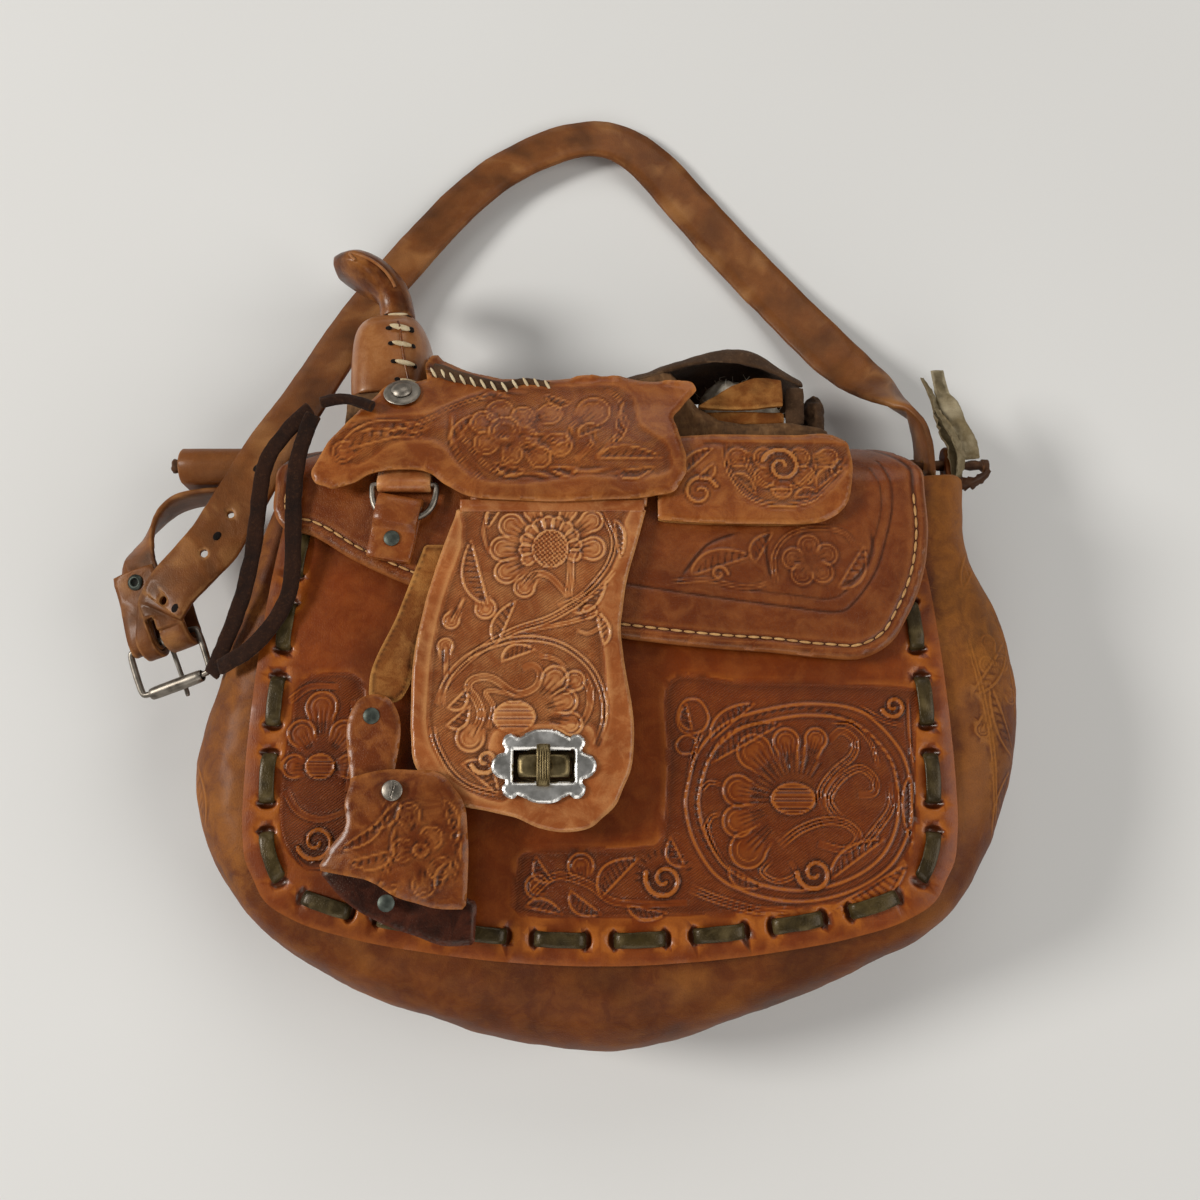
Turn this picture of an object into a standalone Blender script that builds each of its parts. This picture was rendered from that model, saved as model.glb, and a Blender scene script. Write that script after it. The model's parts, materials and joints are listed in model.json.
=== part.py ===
# A saddle-shaped leather shoulder bag, lying on its back.
# Metres: +Z up out of the front panel, +Y towards the mouth and the horn, +X to the right.
# The origin is the centre of the back panel's outer face.
import math

import bmesh
import bpy
from mathutils import Matrix, Vector

# General fit
fit_gap = 0.0003
layer_gap = 0.0004
cut_overrun = 0.004
sheet_cell = 0.034

# Bag body
panel_half_width = 0.140
panel_half_height = 0.101
panel_leather = 0.003
panel_edge_shares = [
    (0.90, 1.0), (0.93, 0.74), (0.965, 0.40), (0.99, 0.0), (1.0, -0.36), (0.985, -0.60),
    (0.915, -0.775), (0.74, -0.88), (0.50, -0.945), (0.25, -0.985), (0.0, -1.0),
]
front_top = 0.090
bag_depth = 0.076
crown_rise = 0.006

# Gusset, a wide band that bellies out between the panels
gusset_leather = 0.0024
gusset_flange = 0.0145
gusset_belly = 0.040
gusset_top = 0.095
gusset_stations = 36
gusset_arc_steps = 6
gusset_squareness = 2.3
belly_shares = [
    (0.0, 0.27), (0.034, 0.36), (0.061, 0.48), (0.09, 0.56), (0.12, 0.56), (0.15, 0.60), (0.18, 0.78),
    (0.215, 0.72), (0.249, 0.55), (0.288, 0.38), (0.33, 0.50), (0.387, 0.71), (0.443, 0.86), (0.50, 0.94),
    (0.53, 0.90), (0.557, 0.80), (0.61, 0.62), (0.67, 0.38), (0.712, 0.37), (0.757, 0.52), (0.785, 0.75),
    (0.825, 0.96), (0.867, 1.0), (0.91, 0.96), (0.936, 0.76), (0.954, 0.60), (0.968, 0.72), (0.983, 0.85),
    (1.0, 0.85),
]

# Running lace round the front edge
lace_width = 0.006
lace_leather = 0.0012
lace_inset = 0.0095
lace_pitch = 0.0305
lace_stitch = 0.0185
lace_crown = 0.0007
lace_clearance = 0.00045

# Lid: a padded skirt that folds over the mouth, hinged above the back panel's top
hinge_y = 0.1015
hinge_z = 0.0062
skirt_leather = 0.0045
skirt_lift = 0.0027
skirt_half_width = 0.133
skirt_fold_half_width = 0.119
skirt_back_half_width = 0.104
skirt_fold_start = 0.088
skirt_fold_reach = 0.024
skirt_fold_steps = 8
skirt_front_drop = 0.072
skirt_front_shares = [
    (-1.0, 0.0), (-1.0, 0.14), (-0.97, 0.24), (-0.89, 0.28), (-0.75, 0.43), (-0.55, 0.60), (-0.34, 0.74),
    (-0.10, 0.84), (0.10, 0.89), (0.35, 0.94), (0.51, 0.96), (0.67, 0.99), (0.78, 0.99), (0.87, 0.90),
    (0.92, 0.76), (0.97, 0.56), (1.0, 0.30), (1.0, 0.0),
]
leaf_leather = 0.002
leaf_depth = 0.024
leaf_half_width = 0.098
leaf_setback = 0.0026

# Leather layers that lie on the skirt
ply_leather = 0.0023
rear_jockey_centre = (0.0628, 0.0890)
rear_jockey_half = (0.0396, 0.0190)
rear_jockey_shares = [
    (-1.0, 0.92), (-1.0, -0.92), (-0.57, -0.98), (0.0, -1.0), (0.41, -1.0), (0.70, -0.91), (0.90, -0.61),
    (0.99, 0.0), (1.0, 0.45), (0.97, 0.80), (0.86, 0.97), (0.40, 1.0), (-0.50, 1.0),
]
jockey_leather = 0.003
seat_jockey_centre = (-0.0380, 0.1050)
seat_jockey_half = (0.0780, 0.0268)
seat_jockey_shares = [
    (-0.72, 0.70), (-0.83, 0.31), (-0.93, -0.06), (-1.0, -0.48), (-0.98, -0.68), (-0.89, -0.78),
    (-0.79, -0.70), (-0.70, -0.55), (-0.54, -0.48), (-0.39, -0.54), (-0.31, -0.72), (-0.22, -0.87),
    (0.0, -0.97), (0.25, -1.0), (0.50, -0.97), (0.76, -0.91), (0.88, -0.80), (0.93, -0.55), (0.93, -0.25),
    (0.90, 0.05), (0.87, 0.36), (0.94, 0.66), (1.0, 0.88), (0.97, 1.02), (0.86, 1.05), (0.72, 1.06),
    (0.60, 1.16), (0.42, 1.14), (0.20, 1.08), (-0.05, 1.12), (-0.22, 1.28), (-0.34, 1.50), (-0.42, 1.66),
    (-0.45, 1.40), (-0.44, 1.12), (-0.56, 1.00), (-0.66, 0.92),
]
jockey_bend_start = 0.100
jockey_bend_radius = 0.057
fender_leather = 0.003
fender_centre = (-0.0255, 0.0200)
fender_half = (0.0475, 0.0710)
fender_shares = [
    (-0.62, 1.0), (-0.68, 0.76), (-0.80, 0.52), (-0.90, 0.28), (-0.97, 0.04), (-1.0, -0.22), (-0.99, -0.48),
    (-0.94, -0.66), (-0.80, -0.79), (-0.58, -0.86), (-0.36, -0.89), (-0.16, -0.92), (0.06, -0.98),
    (0.28, -1.0), (0.50, -0.96), (0.66, -0.86), (0.77, -0.70), (0.81, -0.52), (0.79, -0.30), (0.73, -0.06),
    (0.71, 0.14), (0.75, 0.34), (0.86, 0.62), (0.97, 0.90), (0.98, 1.0),
]

# Turn lock
lock_centre = (-0.0213, -0.0264)
plate_half = (0.0215, 0.0152)
plate_metal = 0.0014
plate_lobes = 8
plate_lobe_share = 0.07
plate_slot = (0.0232, 0.0120)
fender_slot_margin = 0.0012
fender_hinge_y = 0.0765
fender_hinge_gap = 0.0010
fender_root_span = (-0.0520, 0.0190)
fender_root_depth = 0.0110
boss_size = (0.0200, 0.0086)
boss_flange = (0.0270, 0.0160)
boss_flange_metal = 0.0012
boss_proud = 0.0008
knob_size = (0.0052, 0.0160, 0.0042)
spindle_radius = 0.0018
spindle_clearance = 0.0003
spindle_length = 0.0080
washer_metal = 0.001

# Dee ring, the loop that holds it and the riveted keeper that hangs from it
dee_axis = (-0.0790, 0.0868)
dee_lift = 0.0110
dee_width = 0.0290
dee_drop = 0.0160
dee_wire = 0.0014
dee_squareness = 2.7
loop_leather = 0.0016
loop_width = 0.0215
loop_tail = 0.0100
keeper_leather = 0.0019
keeper_width = 0.0180
keeper_length = 0.0320
keeper_start = 0.0084
keeper_spread = 0.0080
keeper_turn = math.radians(-10)
keeper_rivet_drop = 0.0232

# Stirrup leather, hanging strap and stirrup hood
stirrup_leather_thick = 0.0019
stirrup_leather_centre = (-0.0750, 0.0300)
stirrup_leather_half = (0.0150, 0.0320)
stirrup_leather_shares = [
    (0.95, 1.0), (0.32, 1.0), (-0.20, 0.29), (-1.0, -0.80), (-0.98, -0.90), (-0.86, -0.94), (-0.16, -0.94),
    (-0.04, -0.86), (0.20, -0.34), (1.0, 0.80),
]
hanger_leather = 0.0022
hanger_centre = (-0.0870, -0.0213)
hanger_half = (0.0082, 0.0205)
hanger_shares = [
    (-0.75, 1.0), (-1.0, 0.85), (-1.0, -1.0), (1.0, -1.0), (1.0, 0.85), (0.75, 1.0),
]
hood_leather = 0.0026
hood_centre = (-0.0780, -0.0540)
hood_half = (0.0287, 0.0260)
hood_bulge = 0.005
hood_shares = [
    (-0.55, 0.90), (-0.18, 1.0), (0.46, 1.0), (0.73, 0.85), (0.91, 0.58), (0.99, 0.08), (1.0, -0.55),
    (0.98, -0.97), (0.58, -0.95), (0.15, -0.82), (-0.36, -0.54), (-0.97, -0.42), (-0.78, -0.08),
    (-0.60, 0.18), (-0.62, 0.55),
]
tread_leather = 0.0022
tread_centre = (-0.0770, -0.0780)
tread_half = (0.0310, 0.0148)
tread_shares = [
    (-0.97, 0.93), (-0.40, 0.98), (0.10, 0.80), (0.54, 0.45), (1.0, 0.10), (0.98, -0.95), (0.59, -0.97),
    (-0.07, -0.50), (-0.70, 0.30),
]
stirrup_axis_y = 0.0010

# Rivets, a slotted screw and the concho
rivet_radius = 0.0034
rivet_rise = 0.0011
shank_radius = 0.0014
shank_clearance = 0.0002
hanger_rivet_place = (-0.0878, -0.0072)
hood_screw_place = (-0.0778, -0.0358)
screw_radius = 0.0042
screw_slot_width = 0.0009
screw_slot_depth = 0.0006
tread_rivet_place = (-0.0790, -0.0768)
concho_place = (-0.0815, 0.1265)
concho_radius = 0.0078
concho_metal = 0.0012
concho_dome_radius = 0.0046
concho_dome_rise = 0.0022
concho_tilt = math.radians(-27)

# Saddle tree, the padded core that sits on the fold under the seat
saddle_mid_z = 0.0445
tree_half_depth = 0.0290
tree_shoulder = 0.004
tree_seat_gap = 0.0007
tree_fold_from = math.radians(40)
tree_fold_to = math.radians(116)
tree_fold_steps = 5
tree_left = -0.108
tree_front_end = -0.0645
tree_seat_end = 0.030
tree_cantle_start = 0.042
tree_right = 0.096
swell_floor = 0.1320
cantle_floor = 0.1180

# Seat suede: (x, y of the ridge, share of the seat's depth, share of its roll)
seat_leather = 0.0018
seat_half_depth = 0.0250
seat_roll = 0.0070
seat_line = [
    (-0.0730, 0.1570), (-0.0640, 0.1495), (-0.0510, 0.1430), (-0.0250, 0.1390), (0.0000, 0.1400),
    (0.0170, 0.1440), (0.0300, 0.1490), (0.0400, 0.1535), (0.0520, 0.1580), (0.0650, 0.1570),
    (0.0760, 0.1490), (0.0870, 0.1430),
]
seat_depth_shares = [0.45, 0.72, 0.88, 1.0, 1.0, 1.0, 1.0, 1.0, 1.0, 1.0, 0.95, 0.80]
seat_roll_shares = [0.8, 0.9, 0.9, 0.9, 0.9, 0.9, 0.9, 1.1, 1.7, 1.7, 1.2, 0.9]
seat_arc_steps = 6

# Swell and horn
swell_centre_x = -0.0920
swell_half_width = 0.0175
swell_half_depth = 0.0270
swell_squareness = 3.2
swell_rings = [
    (0.1325, 0.96, 0.98), (0.1420, 1.0, 1.0), (0.1560, 1.0, 1.0), (0.1645, 0.94, 0.94),
    (0.1700, 0.78, 0.72), (0.1738, 0.60, 0.45), (0.1760, 0.50, 0.34),
]
horn_half_depth = 0.0170
horn_half_thickness = 0.0085
horn_rings = [
    (-0.0915, 0.1764, 92, 0.98, 0.52), (-0.0918, 0.1835, 97, 0.92, 0.56), (-0.0948, 0.1905, 117, 0.98, 0.72),
    (-0.1005, 0.1962, 141, 1.05, 0.92), (-0.1080, 0.2003, 160, 0.98, 1.0), (-0.1150, 0.2020, 172, 0.76, 0.84),
    (-0.1203, 0.2024, 180, 0.42, 0.50),
]
ring_points = 12

# Cream lace over the swell's seam
swell_lace_x = -0.0862
swell_lace_width = 0.0024
swell_lace_length = 0.0098
swell_lace_leather = 0.0011
swell_lace_spine = 0.0010
swell_lace_gap = 0.0009
swell_lace_rows = [0.1370, 0.1442, 0.1512, 0.1580, 0.1640]

# Cantle: torn open at the right end of the seat
cantle_wrap_leather = 0.0024
cantle_wrap_centre = (0.0590, 0.1315)
cantle_wrap_half = (0.0180, 0.0085)
cantle_wrap_z = 0.0690
cantle_wrap_radius = 0.022
cantle_wrap_shares = [
    (-1.0, -0.75), (-0.60, -0.20), (-0.20, 0.40), (0.30, 0.90), (0.70, 1.0), (1.0, 0.75), (1.0, -0.70),
    (0.40, -0.85), (-0.30, -0.95),
]
cantle_lip_half = (0.0172, 0.0028)
cantle_lip_centre = (0.0608, 0.1214)
cantle_lip_z = 0.0600
cantle_lip_thick = 0.0080
padding_rings = [
    (0.0440, 0.1400, 0.60), (0.0520, 0.1490, 1.0), (0.0640, 0.1475, 0.95), (0.0740, 0.1410, 0.85),
    (0.0800, 0.1350, 0.60),
]
padding_half_depth = 0.0205
padding_points = 8
padding_mid_z = 0.0420
cantle_strip_centre = (0.0828, 0.1270)
cantle_strip_half = (0.0040, 0.0084)
cantle_strip_leather = 0.0016
cantle_strip_z = 0.0655
cantle_end_centre = (0.0925, 0.0520)
cantle_end_half = (0.0052, 0.0120)
cantle_end_rings = [(0.1182, 0.85), (0.1230, 1.0), (0.1300, 0.95), (0.1350, 0.65)]

# Saddle strings: a twisted root and two hanging suede thongs
string_leather = 0.0014
string_width = 0.0066
string_root_radius = 0.0024
string_root_route = [
    (-0.0925, 0.1185, 0.0877), (-0.1000, 0.1215, 0.0872), (-0.1065, 0.1225, 0.0866), (-0.1140, 0.1215, 0.0850),
]
string_a_route = [
    (-0.1185, 0.1195, 0.0840), (-0.1275, 0.1120, 0.0808), (-0.1368, 0.1010, 0.0775), (-0.1395, 0.0880, 0.0760),
    (-0.1405, 0.0700, 0.0750), (-0.1430, 0.0520, 0.0735), (-0.1475, 0.0360, 0.0710), (-0.1540, 0.0220, 0.0660),
    (-0.1600, 0.0130, 0.0590),
]
string_b_route = [
    (-0.1165, 0.1160, 0.0862), (-0.1205, 0.1070, 0.0845), (-0.1235, 0.0930, 0.0832), (-0.1240, 0.0780, 0.0818),
    (-0.1235, 0.0620, 0.0806), (-0.1238, 0.0480, 0.0785), (-0.1280, 0.0350, 0.0775), (-0.1380, 0.0225, 0.0760),
    (-0.1470, 0.0170, 0.0730), (-0.1535, 0.0145, 0.0700),
]

# Shoulder strap, from the right-hand root round to the fold at the buckle
pivot_y = 0.110
pivot_z = 0.038
pin_radius = 0.0021
pin_clearance = 0.0003
pin_knot_radius = 0.0034
strap_width = 0.0230
strap_leather = 0.0028
strap_overhang = 0.0500
strap_spread = panel_half_width + strap_overhang
strap_reach = 0.2950
strap_rise = 0.0550
strap_stations_shares = [
    (0.763, 0.347, 0.69, -90), (0.763, 0.412, 0.67, -90), (0.742, 0.465, 0.60, -72),
    (0.680, 0.512, 0.47, -30), (0.602, 0.578, 0.24, 4), (0.471, 0.690, 0.09, 2),
    (0.331, 0.797, 0.065, 1), (0.206, 0.897, 0.070, -3), (0.105, 0.967, 0.105, -10),
    (0.000, 0.995, 0.130, -14), (-0.132, 0.978, 0.135, -16), (-0.290, 0.919, 0.130, -16),
    (-0.426, 0.825, 0.145, -17), (-0.544, 0.721, 0.180, -17), (-0.637, 0.613, 0.320, -16),
    (-0.702, 0.485, 0.640, -13), (-0.763, 0.390, 0.860, -9), (-0.805, 0.320, 0.950, -4),
    (-0.859, 0.245, 0.985, 3), (-0.908, 0.203, 1.00, -1), (-0.952, 0.169, 1.00, -6),
    (-0.974, 0.141, 0.975, -10),
]
strap_smooth_steps = 2
strap_fold_radius = 0.0060
strap_tail = 0.026
strap_holes = [0.300, 0.222, 0.147]
strap_hole_radius = 0.0018
right_lug_inset = 0.0360
right_root_insets = (0.0495, 0.0200)
left_root_insets = (0.0610, 0.0030)
lug_leather = 0.0024
lug_half_depth = 0.0048
lug_inside = 0.0120
lug_outside = 0.0080
left_lug_inset = 0.0570

# Billet: the short strap that carries the buckle
billet_leather = 0.0022
billet_width = 0.0200
billet_tab_z = 0.0430
billet_tab_insets = (0.0380, 0.0040)
billet_tab_leather = 0.0024
billet_tab_radius = 0.0068
billet_tab_drop = 0.0200
billet_root_y = 0.0990
billet_stations_shares = [
    (0.815, 0.336, 0.545, -90), (0.905, 0.334, 0.540, -90), (0.992, 0.326, 0.530, -88),
    (1.038, 0.300, 0.530, -80), (1.060, 0.262, 0.590, -58), (1.064, 0.228, 0.680, -32),
]
billet_fold_radius = 0.0030
billet_return = 0.033
billet_lead = 0.027
eyelet_radius = 0.0037
eyelet_bore = 0.0016
eyelet_rise = 0.0009
eyelet_back = 0.0275

# Buckle
buckle_inset = 0.0030
buckle_y = 0.0305
buckle_z = 0.0430
buckle_centre = (buckle_inset - strap_spread, buckle_y, buckle_z)
buckle_turn = math.radians(18)
buckle_pitch = math.radians(6)
buckle_roll = math.radians(-12)
buckle_inside = 0.0300
buckle_reach = 0.0204
buckle_wire = 0.0016
roller_radius = 0.0029
roller_bore_clearance = 0.0003
prong_wire = 0.0011
prong_length = 0.0260
prong_offset = 0.0010
prong_slot_width = 0.0045

# Rawhide thong tied to the right-hand root
rawhide_width = 0.0070
rawhide_leather = 0.0014
rawhide_route = [
    (0.1655, 0.1125, 0.0403), (0.1642, 0.1200, 0.0411), (0.1598, 0.1285, 0.0417), (0.1555, 0.1385, 0.0410),
    (0.1535, 0.1480, 0.0395), (0.1530, 0.1560, 0.0380),
]


def material(name, color, roughness, metallic=0.0):
    """A Principled material with the piece's own colour."""
    made = bpy.data.materials.new(name)
    made.use_nodes = True
    surface = made.node_tree.nodes["Principled BSDF"]
    surface.inputs["Base Color"].default_value = (*color, 1.0)
    surface.inputs["Roughness"].default_value = roughness
    surface.inputs["Metallic"].default_value = metallic
    made.diffuse_color = (*color, 1.0)
    return made


def finish(name, mesh, look):
    """Turn a bmesh into one named object with outward faces."""
    bmesh.ops.recalc_face_normals(mesh, faces=mesh.faces[:])
    data = bpy.data.meshes.new(name)
    mesh.to_mesh(data)
    mesh.free()
    data.materials.append(look)
    data.shade_smooth()
    data.set_sharp_from_angle(angle=math.radians(40))
    made = bpy.data.objects.new(name, data)
    bpy.context.scene.collection.objects.link(made)
    return made


def curve_through(points, steps, closed=False):
    """Points of a Catmull-Rom curve through the given points."""
    count = len(points)
    spots = [Vector(point) for point in points]
    spans = count if closed else count - 1
    curve = []
    for index in range(spans):
        if closed:
            before, start, end, after = (spots[(index + k) % count] for k in (-1, 0, 1, 2))
        else:
            before, start = spots[max(index - 1, 0)], spots[index]
            end, after = spots[index + 1], spots[min(index + 2, count - 1)]
        for step in range(steps):
            t = step / steps
            curve.append(0.5 * (2 * start + (end - before) * t
                                + (2 * before - 5 * start + 4 * end - after) * t ** 2
                                + (3 * start - before - 3 * end + after) * t ** 3))
    if not closed:
        curve.append(spots[-1])
    return curve


def outline(centre, half, shares):
    """A closed outline: shares of the half sizes, set round the centre."""
    return [(centre[0] + half[0] * x, centre[1] + half[1] * y) for x, y in shares]


def trimmed(edge, limit):
    """The part of an outline that lies below a limit in y."""
    kept = []
    for (x, y), (next_x, next_y) in zip(edge, edge[1:] + edge[:1]):
        if y <= limit:
            kept.append((x, y))
        if (y > limit) != (next_y > limit):
            kept.append((x + (next_x - x) * (limit - y) / (next_y - y), limit))
    return kept


def box_outline(centre, size):
    """The four corners of a rectangle."""
    x, y = size[0] / 2, size[1] / 2
    return [(centre[0] - x, centre[1] - y), (centre[0] + x, centre[1] - y),
            (centre[0] + x, centre[1] + y), (centre[0] - x, centre[1] + y)]


def grid_lines(low, high, cell):
    """Whole multiples of a cell that fall inside a span."""
    first = math.floor(low / cell) + 1
    return [index * cell for index in range(first, math.ceil(high / cell))]


def sheet(name, edge, place, thickness, look, lines_x=None, lines_y=None):
    """A closed leather sheet: an outline cut on grid lines and laid by place(x, y, height)."""
    mesh = bmesh.new()
    mesh.faces.new([mesh.verts.new((x, y, 0)) for x, y in edge])
    for axis, lines in ((0, lines_x), (1, lines_y)):
        if lines is None:
            span = [point[axis] for point in edge]
            lines = grid_lines(min(span), max(span), sheet_cell)
        normal = Vector((1 - axis, axis, 0))
        for line in lines:
            parts = mesh.verts[:] + mesh.edges[:] + mesh.faces[:]
            bmesh.ops.bisect_plane(mesh, geom=parts, dist=fit_gap / 100, plane_co=normal * line, plane_no=normal)
    mesh.normal_update()
    bmesh.ops.triangulate(mesh, faces=mesh.faces[:])
    lower = mesh.verts[:]
    rim = [edge for edge in mesh.edges if edge.is_boundary]
    pairs = [tuple(edge.verts) for edge in rim]
    copied = bmesh.ops.duplicate(mesh, geom=mesh.verts[:] + mesh.edges[:] + mesh.faces[:])
    upper = {vert: copied["vert_map"][vert] for vert in lower}
    for start, end in pairs:
        mesh.faces.new((start, end, upper[end], upper[start]))
    for vert in lower:
        x, y = vert.co.x, vert.co.y
        upper[vert].co = place(x, y, thickness)
        vert.co = place(x, y, 0)
    return finish(name, mesh, look)


def loft(name, rings, look, round_again=False):
    """A closed solid through rings that all have the same number of points."""
    mesh = bmesh.new()
    rows = [[mesh.verts.new(point) for point in ring] for ring in rings]
    count = len(rows[0])
    spans = len(rows) if round_again else len(rows) - 1
    for index in range(spans):
        here, there = rows[index], rows[(index + 1) % len(rows)]
        for k in range(count):
            after = (k + 1) % count
            mesh.faces.new((here[k], here[after], there[after], there[k]))
    if not round_again:
        mesh.faces.new(rows[0])
        mesh.faces.new(rows[-1])
    mesh.normal_update()
    bmesh.ops.triangulate(mesh, faces=[face for face in mesh.faces if len(face.verts) > 4])
    return finish(name, mesh, look)


def turned(name, profile, look, matrix, segments=14):
    """A solid of revolution: (radius, height) pairs spun round the local Z axis."""
    mesh = bmesh.new()
    verts = [mesh.verts.new((radius, 0, height)) for radius, height in profile]
    edges = [mesh.edges.new(pair) for pair in zip(verts, verts[1:])]
    if profile[0][0] > 0:
        edges.append(mesh.edges.new((verts[-1], verts[0])))
    bmesh.ops.spin(mesh, geom=verts + edges, axis=(0, 0, 1), cent=(0, 0, 0), steps=segments,
                   angle=math.tau, use_merge=True)
    bmesh.ops.remove_doubles(mesh, verts=mesh.verts[:], dist=fit_gap / 100)
    mesh.transform(matrix)
    return finish(name, mesh, look)


def frames_along(points, closed=False):
    """Two cross directions at each point of a route, carried along without twist."""
    count = len(points)
    tangents = []
    for index in range(count):
        before = points[(index - 1) % count] if closed else points[max(index - 1, 0)]
        after = points[(index + 1) % count] if closed else points[min(index + 1, count - 1)]
        tangents.append((after - before).normalized())
    side = tangents[0].orthogonal().normalized()
    frames = []
    for tangent in tangents:
        side = (side - tangent * side.dot(tangent)).normalized()
        frames.append((side, tangent.cross(side)))
    return frames


def tube(name, route, radius, sides, look, closed=False):
    """A round bar along a route."""
    points = [Vector(point) for point in route]
    rings = []
    for point, (side, up) in zip(points, frames_along(points, closed)):
        turns = [math.tau * k / sides for k in range(sides)]
        rings.append([point + radius * (side * math.cos(a) + up * math.sin(a)) for a in turns])
    return loft(name, rings, look, round_again=closed)


def faced(stations):
    """Add to each (centre, width direction) the direction that its face looks in."""
    faces = []
    for index, (centre, across) in enumerate(stations):
        along = stations[min(index + 1, len(stations) - 1)][0] - stations[max(index - 1, 0)][0]
        faces.append((centre, across.normalized(), along.cross(across).normalized()))
    return faces


def band(name, stations, width, thickness, look):
    """A flat strap through (centre, width direction) stations."""
    rings = []
    for centre, across, face in faced(stations):
        half, rise = across * (width / 2), face * (thickness / 2)
        rings.append([centre - half - rise, centre + half - rise, centre + half + rise, centre - half + rise])
    return loft(name, rings, look)


def flat_band(name, route, width, thickness, look, steps=1):
    """A thong that keeps its face upwards along its route."""
    points = curve_through(route, steps)
    stations = []
    for index, point in enumerate(points):
        along = points[min(index + 1, len(points) - 1)] - points[max(index - 1, 0)]
        stations.append((point, Vector((along.y, -along.x, 0))))
    return band(name, stations, width, thickness, look)


def cutter(name, mesh):
    """A hidden wire object that only cuts others."""
    made = finish(name, mesh, cutter_look)
    made.hide_render = True
    made.display_type = "WIRE"
    return made


def box_mesh(centre, size, matrix=Matrix.Identity(4), mesh=None):
    """A box, added to a bmesh."""
    mesh = mesh or bmesh.new()
    shape = Matrix.Translation(Vector(centre)) @ Matrix.Diagonal((*size, 1))
    bmesh.ops.create_cube(mesh, size=1, matrix=matrix @ shape)
    return mesh


def rod_mesh(centre, radius, length, matrix=Matrix.Identity(4), segments=10, mesh=None):
    """A round rod along the local Z axis, added to a bmesh."""
    mesh = mesh or bmesh.new()
    bmesh.ops.create_cone(mesh, cap_ends=True, segments=segments, radius1=radius, radius2=radius,
                          depth=length, matrix=matrix @ Matrix.Translation(Vector(centre)))
    return mesh


def cut(target, tool):
    """Subtract a cutter with an exact Boolean."""
    step = target.modifiers.new("cut_" + tool.name, "BOOLEAN")
    step.operation = "DIFFERENCE"
    step.object = tool
    step.solver = "EXACT"


def hang(pieces, name, pivot):
    """Parent pieces to an empty on their joint's axis, leaving them in place."""
    axle = bpy.data.objects.new(name, None)
    axle.location = pivot
    bpy.context.scene.collection.objects.link(axle)
    for piece in pieces:
        piece.parent = axle
        piece.matrix_parent_inverse = Matrix.Translation(-Vector(pivot))
    return axle


def mix(table, at):
    """Read a value between the entries of a table of (place, value) pairs."""
    if at <= table[0][0]:
        return table[0][1]
    for (left, low), (right, high) in zip(table, table[1:]):
        if at <= right:
            t = (at - left) / (right - left)
            return low + (high - low) * t
    return table[-1][1]


def face_height(x, y):
    """Height of the front panel's outer face, a gentle crown."""
    return bag_depth - crown_rise / 2 * ((x / panel_half_width) ** 2 + (y / panel_half_height) ** 2)


def over_panel(lift):
    """Lay a sheet at a constant height over the front panel."""
    def place(x, y, height):
        return Vector((x, y, face_height(x, y) + lift + height))
    return place


def panel_edge():
    """The panels' edge from the top left corner round the bottom to the top right."""
    right = [(panel_half_width * x, panel_half_height * y, 0) for x, y in panel_edge_shares]
    left = [(-x, y, z) for x, y, z in right[:-1]]
    return curve_through(left + right[::-1], 4)


def resample(points, count):
    """Points at equal steps along a polyline."""
    lengths = [0.0]
    for start, end in zip(points, points[1:]):
        lengths.append(lengths[-1] + (end - start).length)
    spots, index = [], 0
    for step in range(count):
        goal = lengths[-1] * step / (count - 1)
        while index < len(points) - 2 and lengths[index + 1] < goal:
            index += 1
        t = (goal - lengths[index]) / (lengths[index + 1] - lengths[index])
        spots.append(points[index].lerp(points[index + 1], t))
    return spots


def below(points, top):
    """The part of the edge that lies below a height, with its ends cut off level."""
    kept = []
    for start, end in zip(points, points[1:]):
        if (start.y > top) != (end.y > top):
            kept.append(start.lerp(end, (top - start.y) / (end.y - start.y)))
        if end.y <= top:
            kept.append(end)
    return kept


def outward(points):
    """Outward direction of the edge at each of its points."""
    normals = []
    for index in range(len(points)):
        along = points[min(index + 1, len(points) - 1)] - points[max(index - 1, 0)]
        normals.append(Vector((along.y, -along.x, 0)).normalized())
    return normals


def path_length(points):
    """Length of a polyline."""
    return sum((end - start).length for start, end in zip(points, points[1:]))


def build_panels():
    """Back and front panels."""
    edge = panel_edge()
    back_edge = [(point.x, point.y) for point in resample(edge, 40)]
    back = sheet("back_panel", back_edge, lambda x, y, height: Vector((x, y, height)), panel_leather,
                 leather_back, lines_x=[], lines_y=[])
    front_edge = [(point.x, point.y) for point in resample(below(edge, front_top), 44)]
    front = sheet("front_panel", front_edge, over_panel(-panel_leather), panel_leather, leather_front)
    return back, front


def gusset_section(point, normal, belly):
    """One C-shaped section of the gusset: outer line down, inner line back up."""
    back_z = panel_leather + fit_gap

    def front_z(out):
        spot = point + normal * out
        return face_height(spot.x, spot.y) - panel_leather - fit_gap

    def line(wall):
        seam = -fit_gap
        points = [(-gusset_flange, front_z(-gusset_flange) - wall), (seam, front_z(seam) - wall)]
        top, low = front_z(seam) - wall, back_z + wall
        middle, half = (top + low) / 2, (top - low) / 2
        reach = belly - wall - seam
        for k in range(1, gusset_arc_steps):
            angle = math.pi * k / gusset_arc_steps
            out = seam + reach * math.sin(angle) ** (2 / gusset_squareness)
            rise = math.cos(angle)
            points.append((out, middle + half * math.copysign(abs(rise) ** (2 / gusset_squareness), rise)))
        return points + [(seam, low), (-gusset_flange, low)]

    ring = line(0) + line(gusset_leather)[::-1]
    return [point + normal * out + Vector((0, 0, z)) for out, z in ring]


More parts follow.
